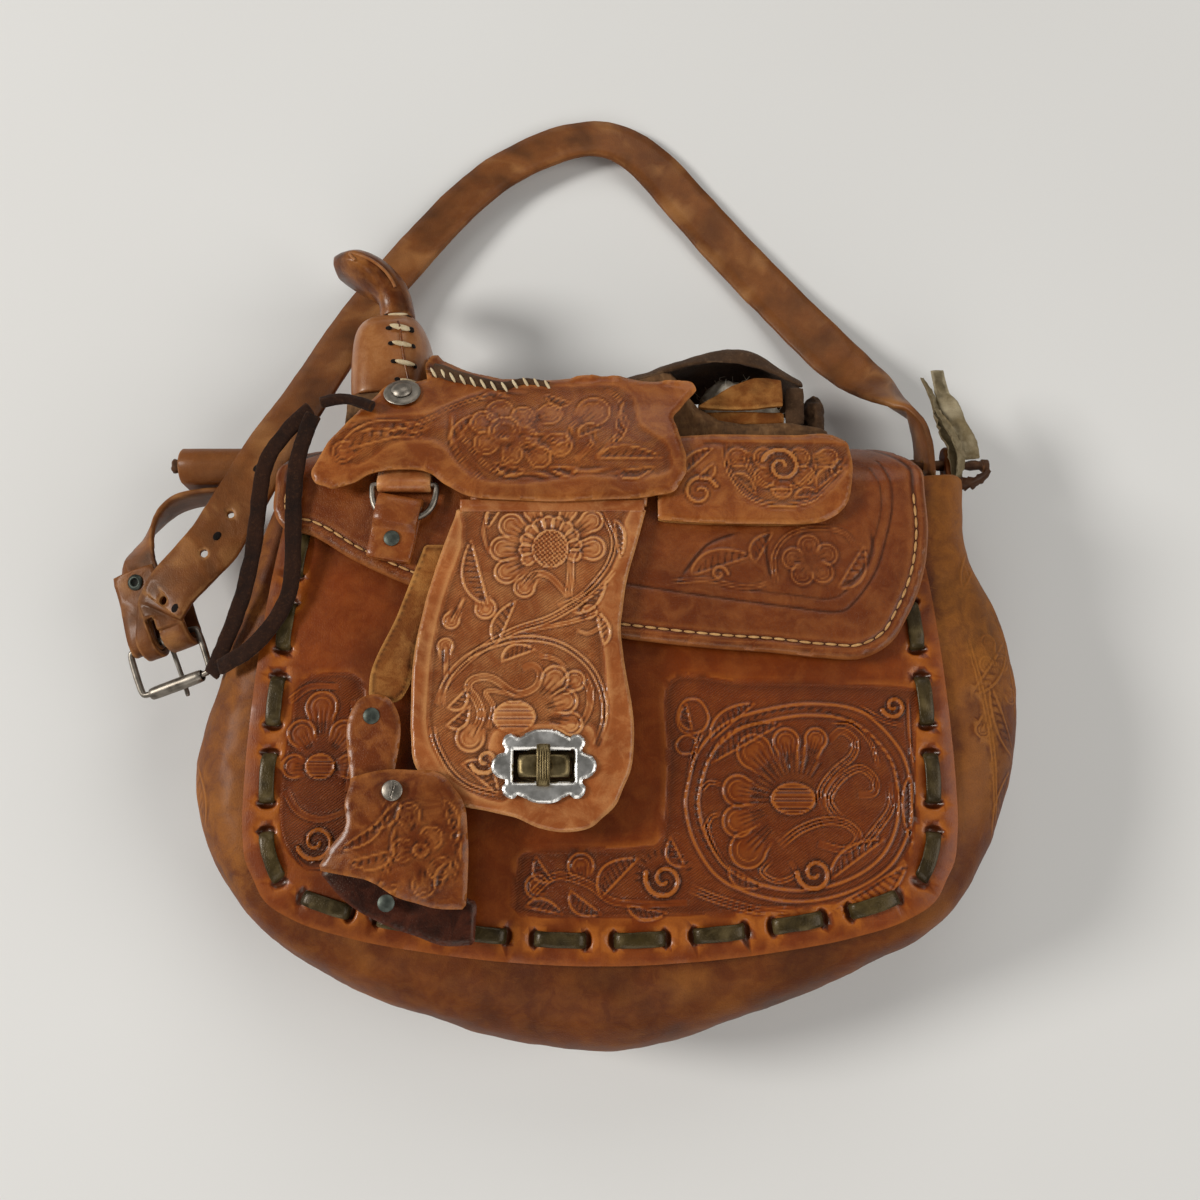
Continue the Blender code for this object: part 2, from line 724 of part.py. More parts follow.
def build_gusset():
    """The belly band between the two panels."""
    path = resample(below(panel_edge(), gusset_top), gusset_stations)
    rings = []
    for index, (point, normal) in enumerate(zip(path, outward(path))):
        share = mix(belly_shares, index / (gusset_stations - 1))
        rings.append(gusset_section(point, normal, gusset_belly * share))
    return loft("gusset", rings, leather_gusset)


def build_lacing(front, gusset):
    """One running lace, and the slots that it passes through."""
    edge = resample(below(panel_edge(), front_top), 90)
    inner = [point - normal * lace_inset for point, normal in zip(edge, outward(edge))]
    length = path_length(inner)
    stitches = int(length / lace_pitch)
    start = (length - (stitches - 1) * lace_pitch) / 2
    fine = resample(inner, 400)
    directions = outward(fine)

    def at(distance):
        place = min(max(distance / length, 0), 1) * (len(fine) - 1)
        index = min(int(place), len(fine) - 2)
        share = place - index
        return (fine[index].lerp(fine[index + 1], share),
                directions[index].lerp(directions[index + 1], share).normalized())

    top = fit_gap + lace_leather / 2
    under = -panel_leather - gusset_leather - 2 * fit_gap - lace_clearance - lace_leather / 2
    down = lace_stitch / 2
    route = []
    for index in range(stitches):
        middle = start + index * lace_pitch
        route += [(middle - down, under), (middle - down, top), (middle, top + lace_crown),
                  (middle + down, top), (middle + down, under)]
    route = [(route[0][0] - down / 2, under)] + route + [(route[-1][0] + down / 2, under)]
    half = lace_leather / 2
    rings = []
    for index, (distance, lift) in enumerate(route):
        before = route[max(index - 1, 0)]
        after = route[min(index + 1, len(route) - 1)]
        into = Vector((distance - before[0], lift - before[1])).normalized() if index else None
        out = Vector((after[0] - distance, after[1] - lift)).normalized() if index < len(route) - 1 else None
        into, out = into or out, out or into
        turn = (into + out).normalized()
        normal = Vector((-turn.y, turn.x)) * (half / max(turn.dot(into), 0.6))
        ring = []
        for across, side in ((-1, -1), (1, -1), (1, 1), (-1, 1)):
            spot, direction = at(distance + normal.x * side)
            place = spot + direction * (across * lace_width / 2)
            height = face_height(place.x, place.y) + lift + normal.y * side
            ring.append(Vector((place.x, place.y, height)))
        rings.append(ring)
    lace = loft("edge_lace", rings, lace_olive)
    slots = bmesh.new()
    size = (lace_width + 2 * lace_clearance, lace_leather + 2 * lace_clearance, 4 * panel_leather)
    for index in range(stitches):
        for side in (-1, 1):
            spot, direction = at(start + index * lace_pitch + side * down)
            turn = Matrix.Rotation(math.atan2(direction.y, direction.x), 4, "Z")
            height = face_height(spot.x, spot.y) - panel_leather
            box_mesh((0, 0, 0), size, Matrix.Translation((spot.x, spot.y, height)) @ turn, slots)
    tool = cutter("slot_cutter", slots)
    cut(front, tool)
    cut(gusset, tool)
    return lace


def fold_ellipse(x):
    """Middle height, half height and end angle of the skirt's fold at one place."""
    end = math.pi - math.asin((hinge_y - skirt_fold_start) / skirt_fold_reach)
    start_z = face_height(x, skirt_fold_start) + skirt_lift + skirt_leather / 2
    half = (start_z - hinge_z) / (1 - math.cos(end))
    return start_z - half, half, end


def fold_point(x, angle, offset):
    """A point on the fold: offset is measured outwards from the skirt's middle."""
    middle, half, _ = fold_ellipse(x)
    y = skirt_fold_start + (skirt_fold_reach + offset) * math.sin(angle)
    return Vector((x, y, middle + (half + offset) * math.cos(angle)))


def build_skirt():
    """The lid's padded skirt: flat over the front, then folded over the mouth."""
    end = fold_ellipse(0)[2]
    fold_length = end * (skirt_fold_reach + hinge_z * 2)
    steps = [skirt_fold_start + fold_length * k / skirt_fold_steps for k in range(skirt_fold_steps + 1)]

    def place(x, y, height):
        if y <= skirt_fold_start:
            return over_panel(skirt_lift)(x, y, height)
        return fold_point(x, end * (y - skirt_fold_start) / fold_length, height - skirt_leather / 2)

    front = outline((0, skirt_fold_start), (skirt_half_width, -skirt_front_drop), skirt_front_shares)
    back = [(skirt_half_width, steps[1]), (skirt_fold_half_width, steps[3]), (skirt_back_half_width, steps[6]),
            (skirt_back_half_width, steps[-1])]
    edge = front + back + [(-x, y) for x, y in back[::-1]]
    lines = grid_lines(-skirt_front_drop, skirt_fold_start, sheet_cell) + steps[:-1]
    skirt = sheet("lid_skirt", edge, place, skirt_leather, leather_skirt, lines_y=lines)
    top = hinge_y - leaf_setback
    leaf_edge = [(-leaf_half_width, top - leaf_depth), (leaf_half_width, top - leaf_depth),
                 (leaf_half_width, top), (-leaf_half_width, top)]
    leaf = sheet("hinge_leaf", leaf_edge,
                 lambda x, y, height: Vector((x, y, panel_leather + fit_gap + height)),
                 leaf_leather, leather_back, lines_x=[], lines_y=[])
    return skirt, leaf


skirt_top = skirt_lift + skirt_leather
first_lift = skirt_top + layer_gap
second_lift = first_lift + ply_leather + layer_gap
fender_lift = first_lift + stirrup_leather_thick + layer_gap
jockey_lift = fender_lift + fender_leather + layer_gap


def over_saddle(x, y, height):
    """Lay the seat jockey: level over the skirt, then bent back over the tree."""
    past = max(y - jockey_bend_start, 0)
    level = face_height(x, min(y, jockey_bend_start)) + jockey_lift
    return Vector((x, y, level + height - past ** 2 / (2 * jockey_bend_radius)))


def build_jockeys():
    """Rear jockey in two plies, and the seat jockey over it."""
    edge = outline(rear_jockey_centre, rear_jockey_half, rear_jockey_shares)
    lower = sheet("rear_jockey_lining", edge, over_panel(first_lift), ply_leather, leather_jockey)
    upper = sheet("rear_jockey", edge, over_panel(second_lift), ply_leather, leather_jockey)
    seat_edge = outline(seat_jockey_centre, seat_jockey_half, seat_jockey_shares)
    rows = grid_lines(0, seat_jockey_centre[1] * 2, sheet_cell / 4)
    seat = sheet("seat_jockey", seat_edge, over_saddle, jockey_leather, leather_jockey, lines_y=rows)
    return [lower, upper, seat]


def build_fender():
    """Fender flap with its lock plate, and its fixed root under the seat jockey."""
    edge = trimmed(outline(fender_centre, fender_half, fender_shares), fender_hinge_y - fender_hinge_gap / 2)
    fender = sheet("fender", edge, over_panel(fender_lift), fender_leather, leather_fender)
    near = fender_hinge_y + fender_hinge_gap / 2
    left, right = fender_root_span
    root_edge = [(left, near), (right, near), (right, near + fender_root_depth), (left, near + fender_root_depth)]
    root = sheet("fender_root", root_edge, over_panel(fender_lift), fender_leather, leather_fender)
    x, y = lock_centre
    level = face_height(x, y)
    slot = [size + 2 * fender_slot_margin for size in plate_slot]
    hole = box_mesh((x, y, level + fender_lift), (*slot, cut_overrun * 2))
    cut(fender, cutter("fender_slot_cutter", hole))
    plate_edge = []
    for k in range(6 * plate_lobes):
        angle = math.tau * k / (6 * plate_lobes)
        reach = 1 - plate_lobe_share * (1 + math.cos(plate_lobes * angle))
        plate_edge.append((x + plate_half[0] * reach * math.cos(angle), y + plate_half[1] * reach * math.sin(angle)))
    plate = sheet("lock_plate", plate_edge, plate_place, plate_metal, lock_silver, lines_x=[], lines_y=[])
    window = box_mesh((x, y, plate_level()), (*plate_slot, cut_overrun))
    cut(plate, cutter("plate_slot_cutter", window))
    return fender, plate, root


def plate_level():
    """Height of the lock plate's underside, clear of the crowned fender below it."""
    return face_height(*lock_centre) + fender_lift + fender_leather + fit_gap + fit_gap


def plate_place(x, y, height):
    """The lock plate is flat."""
    return Vector((x, y, plate_level() + height))


def build_lock():
    """Lock boss on the panel, its washer inside the bag, and the turning knob."""
    x, y = lock_centre
    level = face_height(x, y)
    base = level + 2 * fit_gap
    top = plate_level() + plate_metal + boss_proud
    profile = [
        (box_outline(lock_centre, boss_flange), base, base + boss_flange_metal),
        (box_outline(lock_centre, boss_size), base + boss_flange_metal, top),
    ]
    mesh = bmesh.new()
    rings = []
    for edge, low, high in profile:
        rings += [[mesh.verts.new((px, py, z)) for px, py in edge] for z in (low, high)]
    for here, there in zip(rings, rings[1:]):
        for k in range(4):
            mesh.faces.new((here[k], here[(k + 1) % 4], there[(k + 1) % 4], there[k]))
    mesh.faces.new(rings[0])
    mesh.faces.new(rings[-1])
    boss = finish("lock_boss", mesh, lock_brass)
    bore = spindle_radius + spindle_clearance
    depth = spindle_length + spindle_clearance
    hole = rod_mesh((x, y, top + cut_overrun / 2 - depth / 2), bore, depth + cut_overrun)
    cut(boss, cutter("spindle_bore_cutter", hole))
    under = level - panel_leather - fit_gap - washer_metal - crown_rise / 20
    washer = sheet("lock_washer", box_outline(lock_centre, boss_flange),
                   lambda px, py, height: Vector((px, py, under + height)), washer_metal, lock_brass,
                   lines_x=[], lines_y=[])
    seat = top + fit_gap
    knob_mesh = box_mesh((x, y, seat + knob_size[2] / 2), knob_size)
    knob = finish("lock_knob", knob_mesh, lock_brass)
    rod = rod_mesh((x, y, seat - spindle_length / 2 + fit_gap), spindle_radius, spindle_length + 2 * fit_gap)
    spindle = cutter("spindle_guide", rod)
    join = knob.modifiers.new("spindle", "BOOLEAN")
    join.operation = "UNION"
    join.object = spindle
    join.solver = "EXACT"
    return boss, washer, knob


def profile_sheet(name, path, span, look, thickness, matrix):
    """A strip along a path of (y, z) points, as wide as its span of x."""
    points = [Vector((0, y, z)) for y, z in path]
    rings = []
    for index, point in enumerate(points):
        along = points[min(index + 1, len(points) - 1)] - points[max(index - 1, 0)]
        normal = Vector((0, -along.z, along.y)).normalized() * (thickness / 2)
        left, right = Vector((span[0], 0, 0)), Vector((span[1], 0, 0))
        rings.append([matrix @ (point + offset) for offset in
                      (left - normal, right - normal, right + normal, left + normal)])
    return loft(name, rings, look)


def half_turn(centre, radius, start, end, steps):
    """Points on an arc in the (y, z) plane."""
    turns = [start + (end - start) * k / steps for k in range(steps + 1)]
    return [(centre[0] + radius * math.cos(a), centre[1] + radius * math.sin(a)) for a in turns]


def build_dee():
    """Dee ring, its fixed loop, and the keeper riveted round the ring."""
    x, y = dee_axis
    middle = y - keeper_length / 2
    slope = math.atan2(crown_rise * middle, panel_half_height ** 2)
    place = Matrix.Translation((x, y, face_height(x, y) + dee_lift)) @ Matrix.Rotation(-slope, 4, "X")
    half = dee_width / 2 - dee_wire
    drop = dee_drop - dee_wire
    route = [(half * k / 3, 0, 0) for k in (-2, 0, 2)]
    for k in range(13):
        angle = math.pi * k / 12
        flat = abs(math.cos(angle)) ** (2 / dee_squareness) * math.copysign(1, math.cos(angle))
        route.append((half * flat, -drop * math.sin(angle) ** (2 / dee_squareness), 0))
    ring = tube("dee_ring", [place @ Vector(point) for point in route], dee_wire, 8, steel, closed=True)
    reach = dee_wire + fit_gap + loop_leather / 2
    path = [(loop_tail, -reach), (0, -reach)]
    path += half_turn((0, 0), reach, -math.pi / 2, math.radians(-305), 6)[1:]
    laid = -reach + loop_leather + fit_gap
    path += [(loop_tail * 0.55, laid), (loop_tail, laid)]
    loop = profile_sheet("dee_loop", path, (-loop_width / 2, loop_width / 2), leather_fender, loop_leather, place)
    reach = dee_wire + fit_gap + keeper_leather / 2
    start = -keeper_start
    laid = -reach + keeper_leather + fit_gap
    path = [(-keeper_length, -reach), (start, -reach)]
    path += half_turn((start, 0), reach, -math.pi / 2, math.pi / 2, 5)[1:]
    path += [(start - keeper_spread, reach), (start - keeper_spread * 1.4, laid), (-keeper_length, laid)]
    keeper_place = place @ Matrix.Rotation(keeper_turn, 4, "Z")
    keeper = profile_sheet("dee_keeper", path, (-keeper_width / 2, keeper_width / 2), leather_fender,
                           keeper_leather, keeper_place)
    spot = keeper_place @ Vector((0, -keeper_rivet_drop, laid + keeper_leather / 2))
    rivet = build_rivet("keeper_rivet", spot, 2 * keeper_leather, [keeper])
    return ring, loop, keeper, rivet


def build_rivet(name, spot, depth, leathers, radius=None, look=None):
    """A domed rivet whose shank passes through the leathers."""
    head = radius or rivet_radius
    lift = fit_gap
    profile = [(0, lift + rivet_rise), (head * 0.6, lift + rivet_rise * 0.8), (head, lift + rivet_rise * 0.3),
               (head, lift), (shank_radius, lift), (shank_radius, -depth), (0, -depth)]
    made = turned(name, profile, look or rivet_dark, Matrix.Translation(spot), segments=10)
    hole = rod_mesh((spot[0], spot[1], spot[2] - depth / 2), shank_radius + shank_clearance,
                    depth + 2 * cut_overrun)
    tool = cutter(name + "_cutter", hole)
    for leather in leathers:
        cut(leather, tool)
    return made


def hood_place(x, y, height):
    """The stirrup hood bulges up in its middle."""
    across = (x - hood_centre[0]) / hood_half[0]
    down = (y - hood_centre[1]) / hood_half[1]
    bulge = hood_bulge * max(1 - across ** 2, 0) * max(1 - down ** 2, 0)
    return over_panel(hood_lift)(x, y, height + bulge)


hood_lift = jockey_lift
tread_lift = hood_lift - tread_leather - layer_gap
hanger_lift = hood_lift - hanger_leather - layer_gap


def build_stirrup():
    """Stirrup leather on the lid, and the hood that hangs from it."""
    leather_edge = outline(stirrup_leather_centre, stirrup_leather_half, stirrup_leather_shares)
    upper = sheet("stirrup_leather", leather_edge, over_panel(first_lift), stirrup_leather_thick, leather_rough)
    hanger_edge = outline(hanger_centre, hanger_half, hanger_shares)
    hanger = sheet("stirrup_hanger", hanger_edge, over_panel(hanger_lift), hanger_leather, leather_fender)
    hood = sheet("stirrup_hood", outline(hood_centre, hood_half, hood_shares), hood_place, hood_leather,
                 leather_stirrup)
    tread = sheet("stirrup_tread", outline(tread_centre, tread_half, tread_shares), over_panel(tread_lift),
                  tread_leather, leather_stirrup)
    x, y = hanger_rivet_place
    top = face_height(x, y) + hanger_lift + hanger_leather
    pin = build_rivet("hanger_rivet", (x, y, top), hanger_leather + layer_gap, [hanger])
    x, y = tread_rivet_place
    top = hood_place(x, y, hood_leather).z + fit_gap
    depth = top - face_height(x, y) - tread_lift
    rivet = build_rivet("tread_rivet", (x, y, top), depth, [hood, tread])
    x, y = hood_screw_place
    top = hood_place(x, y, hood_leather).z + fit_gap
    screw = build_rivet("stirrup_screw", (x, y, top), hood_leather, [hood], screw_radius, steel)
    slot_place = Matrix.Translation((x, y, top + fit_gap + rivet_rise)) @ Matrix.Rotation(math.radians(78), 4, "Z")
    slot = box_mesh((0, 0, 0), (3 * screw_radius, screw_slot_width, 2 * screw_slot_depth), slot_place)
    cut(screw, cutter("screw_slot_cutter", slot))
    return upper, hanger, hood, tread, pin, rivet, screw


def superellipse(centre, half, power, count):
    """Points round a rounded rectangle in two axes."""
    points = []
    for k in range(count):
        angle = math.tau * (k + 0.5) / count
        c, s = math.cos(angle), math.sin(angle)
        points.append((centre[0] + half[0] * math.copysign(abs(c) ** (2 / power), c),
                       centre[1] + half[1] * math.copysign(abs(s) ** (2 / power), s)))
    return points


def seat_arc(x, wall):
    """The seat's cross section at one place, a wall's thickness inside its outer face."""
    ridge = mix(seat_line, x)
    places = [place for place, _ in seat_line]
    drop = seat_roll * mix(list(zip(places, seat_roll_shares)), x)
    depth = seat_half_depth * mix(list(zip(places, seat_depth_shares)), x) - wall
    points = []
    for k in range(seat_arc_steps + 1):
        angle = math.pi * k / seat_arc_steps
        rise = (drop - wall) * math.sin(angle) ** 0.6
        points.append(Vector((x, ridge - drop + rise, saddle_mid_z + depth * math.cos(angle))))
    return points


def tree_crown(x):
    """Top of the saddle tree at one place, from its front side to its back side."""
    front, back = saddle_mid_z + tree_half_depth, saddle_mid_z - tree_half_depth
    if tree_front_end <= x <= tree_seat_end:
        arc = seat_arc(x, seat_leather + tree_seat_gap)
        level = arc[0].y - 2 * tree_seat_gap
        return [Vector((x, level, front)), *arc, Vector((x, level, back))]
    top = swell_floor if x < tree_front_end else cantle_floor
    crown = [Vector((x, top - tree_shoulder, front))]
    for k in range(seat_arc_steps + 1):
        share = math.cos(math.pi * (k + 1) / (seat_arc_steps + 2))
        crown.append(Vector((x, top, saddle_mid_z + tree_half_depth * share)))
    return crown + [Vector((x, top - tree_shoulder, back))]


def build_tree():
    """The padded core between the fold and the seat."""
    places = [tree_left, (tree_left + tree_front_end) / 2, tree_front_end - fit_gap]
    places += [x for x, _ in seat_line if tree_front_end <= x <= tree_seat_end] + [tree_cantle_start]
    places += [(tree_cantle_start + tree_right) / 2, tree_right]
    offset = skirt_leather / 2 + layer_gap + fit_gap
    rings = []
    for x in places:
        turns = [tree_fold_from + (tree_fold_to - tree_fold_from) * k / tree_fold_steps
                 for k in range(tree_fold_steps + 1)]
        crown = tree_crown(x)
        for point in crown:
            limit = over_saddle(x, point.y, 0).z - 2 * layer_gap
            point.z = min(point.z, limit)
        rings.append([fold_point(x, angle, offset) for angle in turns] + crown[::-1])
    return loft("saddle_tree", rings, padding_tan)


def build_seat():
    """Dark suede over the seat and the cantle."""
    rings = [seat_arc(x, 0) + seat_arc(x, seat_leather)[::-1] for x, _ in seat_line]
    return loft("seat_suede", rings, suede_dark)


def swell_front(x, y):
    """Height of the swell's front surface."""
    depth = mix([(ring[0], ring[2]) for ring in swell_rings], y) * swell_half_depth
    wide = mix([(ring[0], ring[1]) for ring in swell_rings], y) * swell_half_width
    share = min(abs(x - swell_centre_x) / wide, 1)
    return saddle_mid_z + depth * (1 - share ** swell_squareness) ** (1 / swell_squareness)


def build_swell():
    """Swell, horn and the cream lace down the swell's seam."""
    rings = []
    for y, wide, deep in swell_rings:
        points = superellipse((swell_centre_x, saddle_mid_z), (swell_half_width * wide, swell_half_depth * deep),
                              swell_squareness, 16)
        rings.append([Vector((x, y, z)) for x, z in points])
    swell = loft("saddle_swell", rings, leather_swell)
    rings = []
    for x, y, degrees, thick, deep in horn_rings:
        heading = math.radians(degrees)
        across = Vector((math.sin(heading), -math.cos(heading), 0))
        points = superellipse((0, 0), (horn_half_thickness * thick, horn_half_depth * deep), 2.2, ring_points)
        rings.append([Vector((x, y, saddle_mid_z)) + across * a + Vector((0, 0, b)) for a, b in points])
    horn = loft("saddle_horn", rings, leather_horn)
    half, spine, tall = swell_lace_length / 2, swell_lace_spine / 2, swell_lace_width / 2
    right, left = [], []
    for row in swell_lace_rows:
        right += [(swell_lace_x + spine, row - tall), (swell_lace_x + half, row - tall),
                  (swell_lace_x + half, row + tall), (swell_lace_x + spine, row + tall)]
        left += [(swell_lace_x - spine, row - tall), (swell_lace_x - half, row - tall),
                 (swell_lace_x - half, row + tall), (swell_lace_x - spine, row + tall)]
    edge = right[1:-1] + left[1:-1][::-1]
    rows = [ring[0] for ring in swell_rings[1:-1]]
    columns = [swell_lace_x - half / 2, swell_lace_x + half / 2]
    lace = sheet("swell_lace", edge, lambda x, y, height: Vector((x, y, swell_front(x, y) + swell_lace_gap + height)),
                 swell_lace_leather, lace_cream, lines_x=columns, lines_y=rows)
    return swell, horn, lace


def build_concho():
    """A domed washer and its centre on the seat jockey."""
    x, y = concho_place
    surface = over_saddle(x, y, jockey_leather)
    tilt = Matrix.Translation(surface) @ Matrix.Rotation(concho_tilt, 4, "X")
    lift = 2 * fit_gap
    washer = [(0, lift + concho_metal), (concho_radius * 0.8, lift + concho_metal), (concho_radius, lift + fit_gap),
              (concho_radius, lift), (0, lift)]
    plate = turned("concho", washer, steel, tilt, segments=18)
    base = lift + concho_metal + fit_gap
    dome = [(0, base + concho_dome_rise), (concho_dome_radius * 0.5, base + concho_dome_rise * 0.85),
            (concho_dome_radius * 0.85, base + concho_dome_rise * 0.45), (concho_dome_radius, base), (0, base)]
    boss = turned("concho_boss", dome, steel, tilt, segments=12)
    return plate, boss


def build_cantle():
    """The open cantle: its leather wrap, lip, padding, suede strip and rolled end."""
    def wrap_place(x, y, height):
        past = y - cantle_wrap_centre[1] + cantle_wrap_half[1] / 2
        return Vector((x, y, cantle_wrap_z + height - past ** 2 / (2 * cantle_wrap_radius)))

    rows = grid_lines(0, cantle_wrap_centre[1] * 2, cantle_wrap_half[1] / 2)
    wrap = sheet("cantle_wrap", outline(cantle_wrap_centre, cantle_wrap_half, cantle_wrap_shares), wrap_place,
                 cantle_wrap_leather, leather_rough, lines_y=rows)
    size = [2 * half for half in cantle_lip_half]
    lip = sheet("cantle_lip", box_outline(cantle_lip_centre, size),
                lambda x, y, height: Vector((x, y, cantle_lip_z + height)), cantle_lip_thick, leather_rough,
                lines_x=[], lines_y=[])
    base = cantle_floor + layer_gap
    rings = []
    for x, top, deep in padding_rings:
        middle, half = (base + top) / 2, (top - base) / 2
        points = superellipse((middle, padding_mid_z), (half, padding_half_depth * deep * 0.8), 2.6, padding_points)
        rings.append([Vector((x, y, z)) for y, z in points])
    padding = loft("cantle_padding", rings, padding_white)
    size = [2 * half for half in cantle_strip_half]
    strip = sheet("cantle_strip", box_outline(cantle_strip_centre, size),
                  lambda x, y, height: Vector((x, y, cantle_strip_z + height)), cantle_strip_leather, suede_dark,
                  lines_x=[], lines_y=[])
    rings = []
    for y, share in cantle_end_rings:
        points = superellipse(cantle_end_centre, [half * share for half in cantle_end_half], 2.4, 10)
        rings.append([Vector((x, y, z)) for x, z in points])
    rolled = loft("cantle_end_roll", rings, leather_rough)
    return wrap, lip, padding, strip, rolled


def build_strings():
    """Twisted root and two suede strings on the left."""
    root = tube("string_root", curve_through(string_root_route, 3), string_root_radius, 8, suede_dark)
    first = flat_band("string_long", string_a_route, string_width, string_leather, suede_dark, steps=2)
    second = flat_band("string_front", string_b_route, string_width, string_leather, suede_dark, steps=2)
    return root, first, second


def share_stations(shares, sign=1):
    """Strap stations from shares of its spread, reach and rise, with a tilt in degrees."""
    route = [(sign * strap_spread * x, strap_reach * y, strap_rise * z) for x, y, z, _ in shares]
    points = curve_through(route, strap_smooth_steps)
    tilts = curve_through([(tilt, 0, 0) for _, _, _, tilt in shares], strap_smooth_steps)
    stations = []
    for index, (point, turn) in enumerate(zip(points, tilts)):
        along = points[min(index + 1, len(points) - 1)] - points[max(index - 1, 0)]
        tilt = math.radians(turn.x)
        level = Vector((-along.y, along.x, 0)).normalized()
        stations.append((point, level * math.cos(tilt) - Vector((0, 0, 1)) * math.sin(tilt)))
    return stations


buckle_place = (Matrix.Translation(buckle_centre) @ Matrix.Rotation(buckle_turn, 4, "Z")
                @ Matrix.Rotation(buckle_roll, 4, "Y") @ Matrix.Rotation(buckle_pitch, 4, "X"))


def fold_stations(radius, above, beneath, shift, steps=6):
    """A strap end folded round the buckle's bar: its upper path, the fold and its lower side."""
    path = above + half_turn((0, 0), radius, math.pi / 2, 1.5 * math.pi, steps) + [(beneath, -radius)]
    across = buckle_place.to_3x3() @ Vector((1, 0, 0))
    return [(buckle_place @ Vector((shift, y, z)), across) for y, z in path]


strap_shift = 0.0032
billet_shift = -0.0040


def build_strap():
    """Long shoulder strap, looped round the buckle's bar at its left end."""
    route = share_stations(strap_stations_shares)
    lead = [(strap_fold_radius / 2, strap_fold_radius)]
    fold = fold_stations(strap_fold_radius, lead, strap_tail, strap_shift)
    strap = band("shoulder_strap", route + fold, strap_width, strap_leather, leather_strap)
    hole = rod_mesh((0, 0, 0), pin_radius + pin_clearance, cut_overrun * 2,
                    Matrix.Translation((strap_spread * strap_stations_shares[0][0], pivot_y, pivot_z))
                    @ Matrix.Rotation(math.pi / 2, 4, "Y"))
    cut(strap, cutter("strap_root_cutter", hole))
    holes = bmesh.new()
    for share in strap_holes:
        left_side = faced(route)[len(route) // 2:]
        centre, _, face = min(left_side, key=lambda entry: abs(entry[0].y - strap_reach * share))
        turn = face.to_track_quat("Z", "Y").to_matrix().to_4x4()
        rod_mesh((0, 0, 0), strap_hole_radius, cut_overrun * 2, Matrix.Translation(centre) @ turn, 8, holes)
    cut(strap, cutter("strap_hole_cutter", holes))
    return strap


def build_billet():
    """Short strap with its rounded tab over the left root, folded round the buckle's bar."""
    span = [inset - strap_spread for inset in billet_tab_insets]
    route = share_stations(billet_stations_shares, -1)
    laid = -billet_fold_radius + billet_leather + fit_gap
    above = [(billet_return, laid), (billet_return * 0.55, laid), (billet_return * 0.25, billet_fold_radius)]
    fold = fold_stations(billet_fold_radius, above, billet_lead, billet_shift)
    billet = band("billet", route + fold[::-1], billet_width, billet_leather, leather_strap)
    reach = billet_tab_radius
    path = half_turn((pivot_y, pivot_z), reach, math.radians(-30), math.radians(120), 6)
    path += [(billet_root_y + billet_tab_leather + billet_leather / 2, pivot_z + reach * 0.4),
             (billet_root_y + billet_tab_leather + billet_leather / 2, pivot_z - billet_tab_drop + reach)]
    tab = profile_sheet("billet_tab", path, (span[1], span[0]), leather_strap, billet_tab_leather,
                        Matrix.Identity(4))
    spot = buckle_place @ Vector((billet_shift, eyelet_back, laid + billet_leather / 2))
    lift = fit_gap
    depth = 2 * billet_leather + fit_gap
    profile = [(eyelet_bore, lift + eyelet_rise * 0.5), (eyelet_bore * 1.3, lift + eyelet_rise),
               (eyelet_radius * 0.8, lift + eyelet_rise * 0.8), (eyelet_radius, lift),
               (eyelet_bore * 1.4, lift), (eyelet_bore * 1.4, -depth), (eyelet_bore, -depth)]
    turn = buckle_place.to_3x3().to_4x4()
    eyelet = turned("billet_eyelet", profile, steel, Matrix.Translation(spot) @ turn, segments=12)
    hole = rod_mesh((0, 0, 0), eyelet_bore * 1.4 + shank_clearance, cut_overrun * 4,
                    Matrix.Translation(spot) @ turn, 12)
    cut(billet, cutter("eyelet_cutter", hole))
    return billet, tab, eyelet


def build_buckle(strap, billet):
    """Wire frame with its roller and prong."""
    half = buckle_inside / 2 + buckle_wire
    corner = buckle_wire * 1.6
    front = -buckle_reach
    corners = [(half, 0), (half, front), (-half, front), (-half, 0)]
    route = []
    for index, (x, y) in enumerate(corners):
        before, after = Vector(corners[index - 1]), Vector(corners[(index + 1) % 4])
        here = Vector((x, y))
        into, out = (here - before).normalized(), (after - here).normalized()
        route += [(*(here - into * corner), 0), (*(here + (out - into) * (corner * 0.3)), 0),
                  (*(here + out * corner), 0)]
    frame = tube("buckle_frame", [buckle_place @ Vector(point) for point in route], buckle_wire, 8, steel,
                 closed=True)
    bore = buckle_wire + roller_bore_clearance
    length = buckle_inside / 2 - corner
    profile = [(bore, -length), (roller_radius, -length), (roller_radius, length), (bore, length)]
    axis = buckle_place @ Matrix.Translation((0, front, 0)) @ Matrix.Rotation(math.pi / 2, 4, "Y")
    roller = turned("buckle_roller", profile, steel, axis, segments=14)
    reach = buckle_wire + prong_wire + fit_gap
    path = half_turn((0, 0), reach, math.radians(195), math.radians(-85), 9)
    path += [(-reach * 1.6, -reach * 1.1), (front * 0.5, -roller_radius * 1.3),
             (front, -roller_radius - prong_wire * 1.6), (-prong_length, -roller_radius - prong_wire * 1.4)]
    path = path[::-1]
    points = [buckle_place @ Vector((prong_offset, y, z)) for y, z in path]
    prong = tube("buckle_prong", points, prong_wire, 6, steel)
    slot = box_mesh((prong_offset, -reach, 0), (prong_slot_width, 4 * strap_fold_radius, 3 * strap_fold_radius),
                    buckle_place)
    tool = cutter("prong_slot_cutter", slot)
    cut(strap, tool)
    cut(billet, tool)
    return frame, roller, prong


